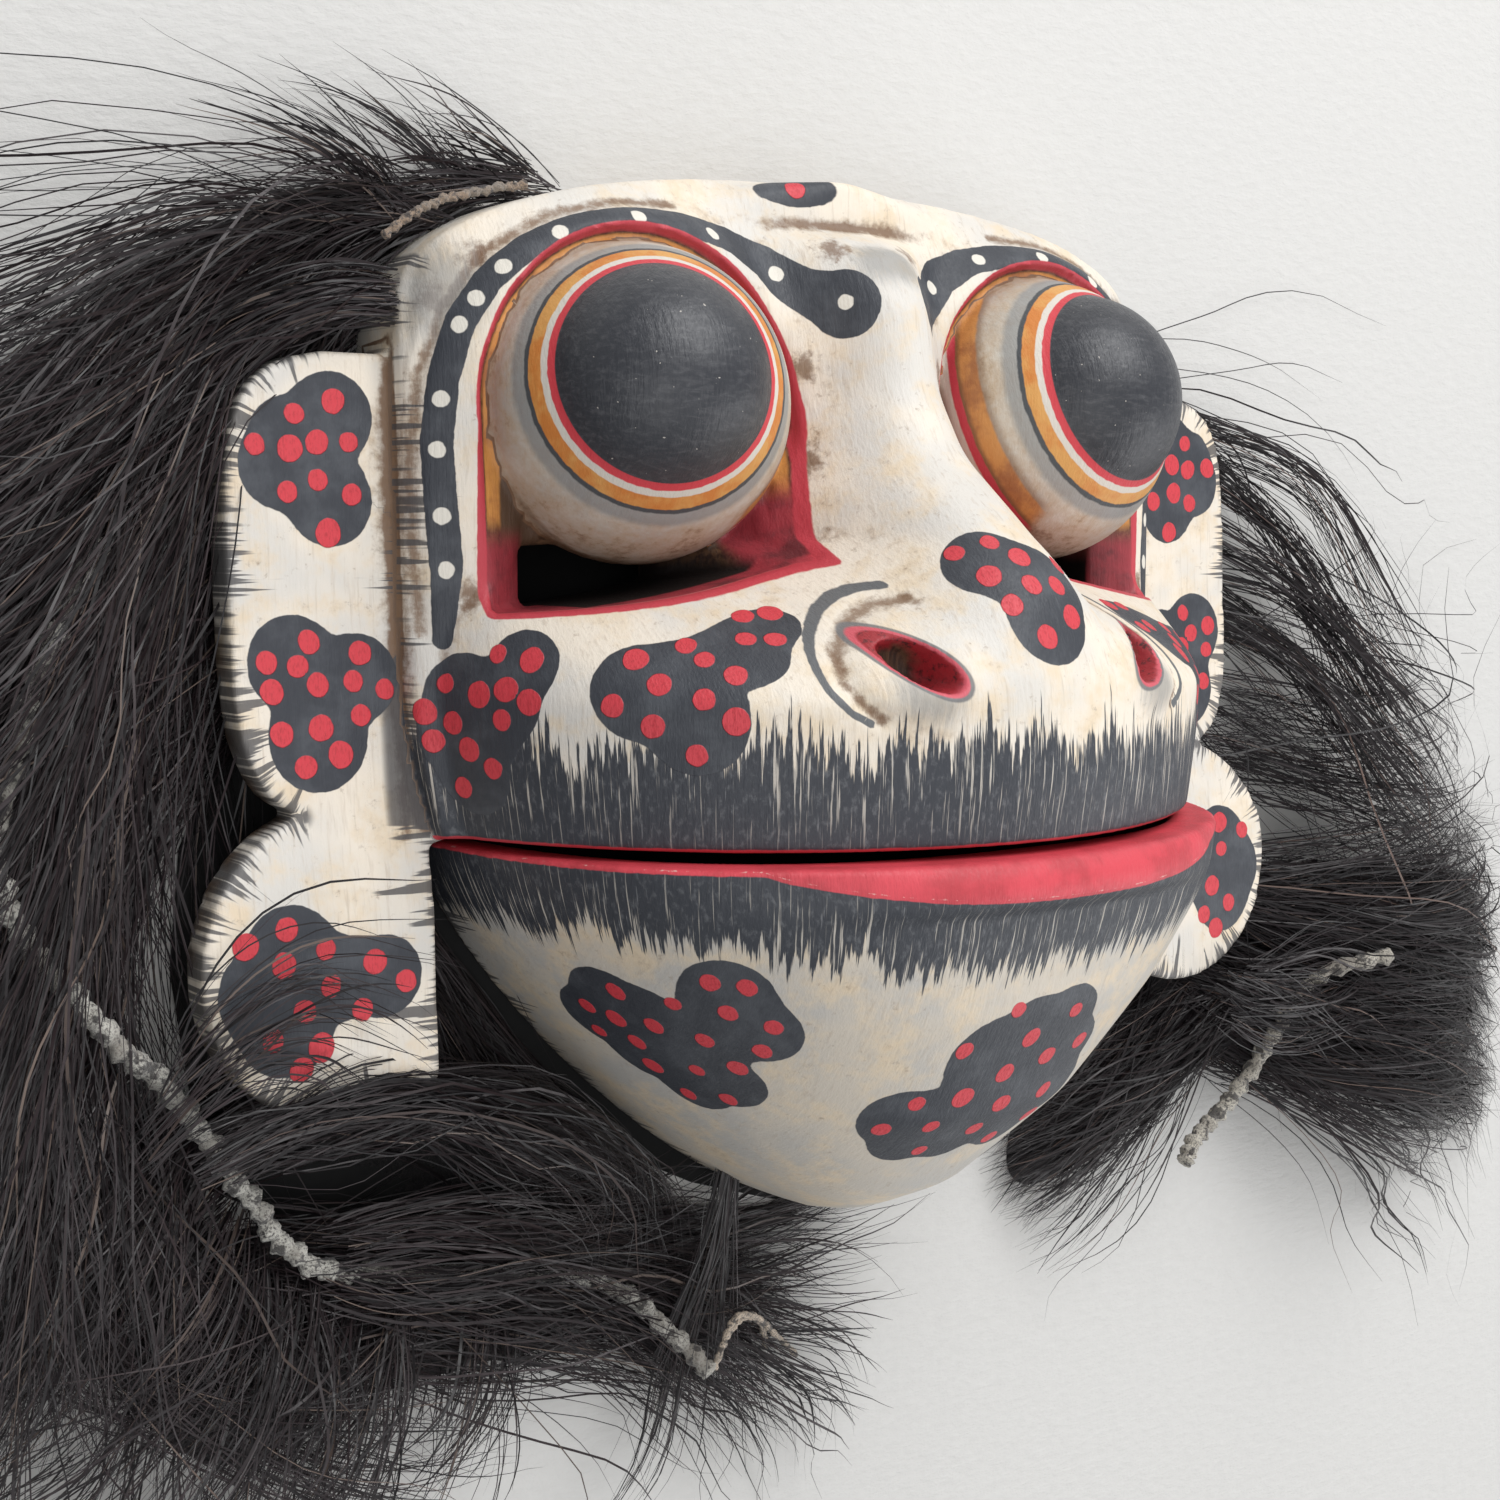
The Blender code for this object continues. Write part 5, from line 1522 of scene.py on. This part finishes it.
def hair_piece(name, bundles, side, seed):
    """Join bundles of strands into one piece of a side's hair."""
    chance = np.random.default_rng(seed)
    strands = np.concatenate(bundles)
    count = len(strands)
    fine = chance.random(count) < SHARE_FINE
    widths = np.where(fine, chance.uniform(*FINE_HAIR, count), chance.uniform(*COARSE_HAIR, count))
    piece = strand_mesh(name, strands, widths, chance.random(count), HAIR[side])
    stands_for(piece, "mask", f"{side}_hair")


# The left hair has half the dust and brown of the right: painted shade, so that mass lies darker than the
# lamps leave it
HAIR = {
    "right": hair_finish("right dark hair", 1.0, 0.9),
    "left": hair_finish("left dark hair", 1.08, 0.45),
}
right_heap, left_heap = Heap("right_hair"), Heap("left_hair")

# Right side: from the crown's corner over and behind the panel
CROWN_FAN = (
    ((-58, 116), (-77, 113), (-90, 109), (-104, 103), (-118, 94), (-132, 82), (-147, 68)),
    ((-70, 108), (-92, 101), (-112, 88), (-130, 70), (-148, 48)),
    ((-78, 99), (-98, 89), (-118, 71), (-134, 49), (-150, 26)),
    ((-88, 89), (-106, 77), (-124, 57), (-140, 33), (-152, 8)),
    ((-98, 62), (-112, 52), (-130, 32), (-144, 8), (-154, -16)),
    ((-100, 30), (-114, 20), (-132, 4), (-146, -16), (-155, -38)),
)
above = [
    combed(right_heap, CROWN_FAN, 200, 20, starts=(0.0, 0.55)),
    combed(right_heap, CROWN_FAN[:2], 34, 20, length=(70.0, 130.0), starts=(0.0, 0.12), lift=(0.75, 1.02),
           spread=2.5),
    combed(right_heap, CROWN_FAN[1:], 44, 14, starts=(0.2, 0.5), lift=(1.0, 1.1), arch=12.0, strays=0.5),
    combed(right_heap, CROWN_FAN[:2], 24, 4, length=(60.0, 150.0), spread=8.0, drift=0.22, bend=22.0,
           arch=14.0, lift=(0.8, 1.1), starts=(0.0, 0.3), strays=0.6),
]

# Below the panel: tufts that hang from the cord, arcs that run under the chin, ends that fray over the
# table; short tufts at the crown's corner and beside it, and a few strands over the panel's lower lobe
HANGING = (
    ((-134, 20), (-144, 4), (-149, -18), (-152, -36)),
    ((-130, -6), (-138, -18), (-145, -34), (-150, -48)),
    ((-122, -24), (-131, -36), (-140, -48), (-147, -60)),
    ((-114, -38), (-124, -48), (-134, -60), (-141, -70)),
    ((-104, -50), (-111, -62), (-120, -72), (-128, -80)),
    ((-90, -62), (-94, -72), (-100, -82), (-106, -90)),
    ((-62, -68), (-68, -78), (-75, -88), (-82, -96)),
)
RIM_TUFTS = (
    ((-44, 117), (-56, 121), (-70, 123), (-84, 122)),
    ((-62, 114), (-76, 117), (-90, 117), (-104, 114)),
    ((-74, 109), (-88, 111), (-102, 109), (-116, 103)),
)
BY_CROWN = (
    ((-84, 100), (-95, 99), (-108, 93), (-122, 82)),
    ((-84, 94), (-96, 94), (-110, 88), (-124, 73)),
)
BEHIND_JAW = (
    ((-98, 8), (-86, 4), (-75, -8), (-63, -24), (-49, -40)),
    ((-100, -6), (-86, -10), (-73, -21), (-57, -37), (-40, -52)),
)
UNDER_CHIN = (
    ((-56, -50), (-28, -66), (-6, -68), (16, -66)),
    ((-50, -58), (-24, -71), (-4, -72), (20, -70)),
)
OVER_EDGE = (
    ((-125, -34), (-113, -29), (-98, -26), (-84, -26), (-66, -31), (-49, -38), (-33, -48), (-27, -62)),
    ((-123, -38), (-104, -34), (-82, -33), (-63, -39), (-44, -47), (-31, -57), (-24, -70)),
)
HIGH_ARCS = OVER_EDGE + (
    ((-118, -42), (-99, -41), (-80, -41), (-62, -46), (-46, -53), (-32, -62), (-23, -75)),
)
LOW_ARCS = (
    ((-114, -50), (-97, -53), (-80, -56), (-62, -61), (-46, -66), (-32, -71), (-18, -79)),
    ((-110, -58), (-92, -64), (-75, -69), (-60, -71), (-42, -75), (-23, -82), (-3, -90)),
    ((-106, -65), (-89, -73), (-70, -79), (-53, -84), (-34, -87), (-13, -93), (10, -102)),
)
SWEEP = (
    ((-150, -36), (-144, -50), (-130, -62), (-110, -72), (-84, -80)),
    ((-154, -50), (-146, -66), (-126, -80), (-98, -90), (-66, -98)),
)
STRAND_TUFT = (((-14, -49), (-16, -61), (-19, -73), (-24, -85), (-33, -104)),)
OVER_LOBE = (
    ((-134, -30), (-126, -22), (-117, -12), (-104, -5), (-88, -6)),
    ((-132, -36), (-122, -26), (-110, -18), (-97, -18), (-84, -26)),
)
below = [
    combed(right_heap, HANGING, 96, 20, length=(22.0, 46.0), starts=(0.0, 0.25), beyond=10.0, drift=0.2,
           bend=14.0),
    combed(right_heap, HIGH_ARCS, 46, 20, length=(60.0, 110.0), starts=(0.0, 0.3), beyond=5.0, spread=2.2,
           drift=0.04, bend=6.0, clear=0.5),
    combed(right_heap, LOW_ARCS, 58, 20, length=(50.0, 110.0), starts=(0.0, 0.4), beyond=5.0, spread=2.6,
           drift=0.06, clear=0.3),
    combed(right_heap, LOW_ARCS[:2], 12, 16, length=(40.0, 70.0), starts=(0.1, 0.3), beyond=5.0, least=13.0,
           settle=0.4, spread=2.0, drift=0.06),
    combed(right_heap, OVER_EDGE, 26, 14, length=(70.0, 120.0), starts=(0.0, 0.1), beyond=5.0, least=22.0,
           settle=0.6, arch=5.0, spread=2.0, drift=0.05, bend=6.0, strays=0.3, clear=0.5),
    combed(right_heap, SWEEP, 14, 14, length=(50.0, 110.0), starts=(0.0, 0.5), beyond=14.0,
           lift=(0.15, 0.9)),
]
ends = [
    combed(right_heap, HANGING[1:], 40, 10, length=(34.0, 66.0), starts=(0.3, 0.7), beyond=34.0, drift=0.25,
           bend=26.0, lift=(0.05, 0.7), strays=0.5),
    combed(right_heap, LOW_ARCS, 40, 11, length=(34.0, 66.0), starts=(0.4, 0.8), beyond=22.0, drift=0.22,
           bend=24.0, lift=(0.05, 0.8), strays=0.5),
    combed(right_heap, STRAND_TUFT, 4, 20, length=(50.0, 84.0), starts=(0.0, 0.1), beyond=14.0, spread=1.5,
           drift=0.06, bend=14.0, lift=(0.95, 1.1), sway=2.0, least=9.0),
    combed(right_heap, BEHIND_JAW, 30, 16, length=(40.0, 80.0), starts=(0.0, 0.4), beyond=2.0, arch=1.0,
           least=0.5, lift=(0.1, 0.6), clear=1.0),
    combed(right_heap, UNDER_CHIN, 16, 20, length=(30.0, 60.0), starts=(0.0, 0.4), beyond=2.0, spread=1.2,
           drift=0.03, bend=3.0, sway=1.0, arch=0.2, lift=(0.05, 0.2), strays=0.03, clear=0.8),
    combed(right_heap, OVER_LOBE, 7, 10, length=(30.0, 62.0), starts=(0.0, 0.3), beyond=6.0, drift=0.1,
           least=21.5, strays=0.5),
    combed(right_heap, CROWN_FAN[3:] + HANGING[:3], 70, 14, starts=(0.0, 0.6), length=(30.0, 80.0),
           beyond=20.0, drift=0.3, bend=26.0, lift=(0.6, 1.08), strays=0.4, clear=0.3),
    combed(right_heap, RIM_TUFTS, 26, 18, length=(12.0, 32.0), starts=(0.0, 0.2), beyond=6.0, drift=0.25,
           bend=20.0, spread=2.0, sway=0.6, arch=2.5, lift=(0.9, 1.1), least=7.0),
    combed(right_heap, BY_CROWN, 16, 16, length=(24.0, 42.0), starts=(0.0, 0.08), beyond=4.0, spread=0.9,
           drift=0.05, bend=6.0, sway=1.0, arch=2.0, lift=(0.8, 1.1), strays=0.05, least=15.0, settle=0.5),
]

# Left side: a few thin locks arch out from the crown, and a thick mass lies below the cord
LEFT_ARCS = (
    ((86, 93), (108, 84), (129, 73), (140, 56), (150, 40)),
    ((88, 86), (110, 76), (130, 62), (142, 50), (160, 27), (180, 8), (200, -4)),
    ((92, 72), (112, 60), (134, 46), (158, 24), (184, 0)),
    ((95, 46), (112, 40), (134, 30), (160, 8), (184, -6)),
)
LEFT_VEIL = (
    ((97, 34), (120, 24), (150, 12), (192, 6)),
    ((96, 12), (128, 4), (164, -2), (206, -2)),
)
LEFT_MASS = (
    ((96, -8), (128, -14), (162, -18), (206, -20)),
    ((98, -18), (132, -26), (168, -32), (208, -36)),
    ((102, -36), (132, -46), (166, -54), (208, -60)),
    ((98, -48), (124, -60), (156, -70), (200, -78)),
)
LEFT_TUFTS = (
    ((130, -18), (106, -32), (88, -45), (72, -55)),
    ((140, -38), (112, -52), (90, -62), (72, -68)),
    ((128, -48), (104, -60), (84, -67), (64, -74)),
)
OVER_CORD = (
    ((100, -26), (124, -34), (150, -40), (182, -42)),
    ((98, -40), (120, -48), (144, -54), (172, -58)),
)
far_side = [
    combed(left_heap, LEFT_ARCS, 19, 17, length=(80.0, 150.0), starts=(0.0, 0.2), beyond=10.0, spread=1.6,
           drift=0.04, bend=5.0, lift=(0.5, 1.05)),
    combed(left_heap, LEFT_VEIL, 20, 8, length=(60.0, 120.0), starts=(0.0, 0.3), beyond=10.0, spread=4.0,
           drift=0.14),
    combed(left_heap, LEFT_MASS, 170, 20, starts=(0.0, 0.6), beyond=30.0),
    combed(left_heap, LEFT_TUFTS, 48, 20, length=(40.0, 84.0), starts=(0.0, 0.4), beyond=9.0, spread=2.4,
           drift=0.1),
    combed(left_heap, OVER_CORD, 12, 14, length=(40.0, 80.0), starts=(0.0, 0.2), beyond=4.0, least=26.0,
           settle=0.5, spread=2.0, drift=0.08),
    combed(left_heap, LEFT_ARCS + LEFT_MASS, 30, 4, spread=10.0, drift=0.25, bend=26.0, arch=10.0,
           strays=0.6),
]
for name, bundles, side, seed in (
    ("right_hair_above", above, "right", 1),
    ("right_hair_below", below, "right", 2),
    ("right_hair_ends", ends, "right", 4),
    ("left_hair_strands", far_side, "left", 3),
):
    hair_piece(name, bundles, side, seed)

# The waxed thread that sews the right hair to the crown's corner, and the felt under both masses
STITCH_LINE = (
    (-85.0, 106.5, 13.5), (-79.0, 111.0, 13.4), (-73.0, 113.5, 13.2), (-66.0, 115.5, 13.0),
    (-58.0, 117.0, 12.6),
)
stitches, stitch_faces, _ = knotted_string(STITCH_LINE, 150, 14, 5, 0.42)
waxed = cotton("waxed thread", (0.62, 0.46, 0.36))
stitching = piece_from("right_weft_stitching", stitches, stitch_faces, waxed)
stands_for(stitching, "mask", "right_hair")
felt = Finish("felted hair", 0.8)
matted = felt.noise(0.9, 5.0, 0.7, distortion=1.5)
felt.bump(matted, 1.2)
felted = felt.end(felt.laid((0.006, 0.005, 0.006), (0.030, 0.024, 0.024), matted, 0.45, 0.75))
for side, bundles in (("right", above + below), ("left", far_side)):
    under = mat_under(f"{side}_hair_mat", bundles, felted)
    stands_for(under, "mask", f"{side}_hair")


# ---------------------------------------------------------------------------
# Where the mask lies: a pale matt table in a light room, with three large soft
# lamps: one beyond the crown like a window, and two weaker ones from both sides.

TABLE = 2500.0


def flat_stage(name, outline, z, finish):
    """A flat thing on the stage, which isn't part of the mask."""
    piece_from(name, [(x, y, z) for x, y in outline], [tuple(range(len(outline)))], finish, False)


table = Finish("pale table", 0.8)
tooth = table.noise(0.5, 4.0, 0.6, table.stretched(0.5, 1.0, 1.0))
table.bump(tooth, 0.35)
flat_stage("table", ((-TABLE, -TABLE), (TABLE, -TABLE), (TABLE, TABLE), (-TABLE, TABLE)), 0.0, table.end(
    table.over((0.595, 0.585, 0.565), (0.65, 0.64, 0.62), tooth)))

# A black card on the table is painted shade: it keeps the eye slits dark, and the gaps beside the jaw under
# the hair. It follows the face's sides from the crown down, and its near corner runs out below the panel and
# chin as a painted contact shadow.
SHADE_CARD_CORNER = (
    (-108, 26), (-116, 10), (-118, -10), (-113, -46), (-92, -58), (-70, -50), (-54, -42),
    (-36, -52), (-17, -62), (0, -68), (10, -71), (16, -66), (14, -57), (38, -37), (58, -14),
)
down = np.linspace(MOUTH_Y - 34.0, 104.0, 24)
rim_x = 0.86 * half_width(np.maximum(down, MOUTH_Y)) - np.maximum(0.0, MOUTH_Y - down)
far_edge = np.column_stack((rim_x, down))[down > MOUTH_Y]
near_edge = np.column_stack((-rim_x, down))[down > 40.0][::-1]
card = Finish("matt black shade card", 0.95)
flat_stage("black_shade_card", np.vstack((far_edge, near_edge, SHADE_CARD_CORNER)), 0.4, card.end(
    card.over((0.004, 0.004, 0.004), (0.008, 0.008, 0.008), card.noise(0.5, 2.0))))

for name, place, size, power in (
    ("window", (190.0, 760.0, 640.0), 0.75, 8.6),
    ("fill", (800.0, -500.0, 600.0), 0.9, 5.2),
    ("second fill", (-420.0, -160.0, 820.0), 0.8, 2.6),
):
    lamp = placed(name, bpy.data.lights.new(name, "AREA"))
    lamp.data.size = size
    lamp.data.energy = power
    lamp.matrix_world = aimed(place, (0.0, 0.0, 20.0))
world = bpy.data.worlds.new("soft room")
world.use_nodes = True
sky = world.node_tree.nodes["Background"]
sky.inputs["Color"].default_value = (0.80, 0.82, 0.85, 1.0)
sky.inputs["Strength"].default_value = 0.47
bpy.context.scene.world = world
bpy.context.scene.view_settings.view_transform = "Standard"

# Light bounces few enough times to render soon: nothing here is clear or mirror-bright
light_paths = bpy.context.scene.cycles
light_paths.max_bounces = 4
light_paths.diffuse_bounces = 2
light_paths.glossy_bounces = 2
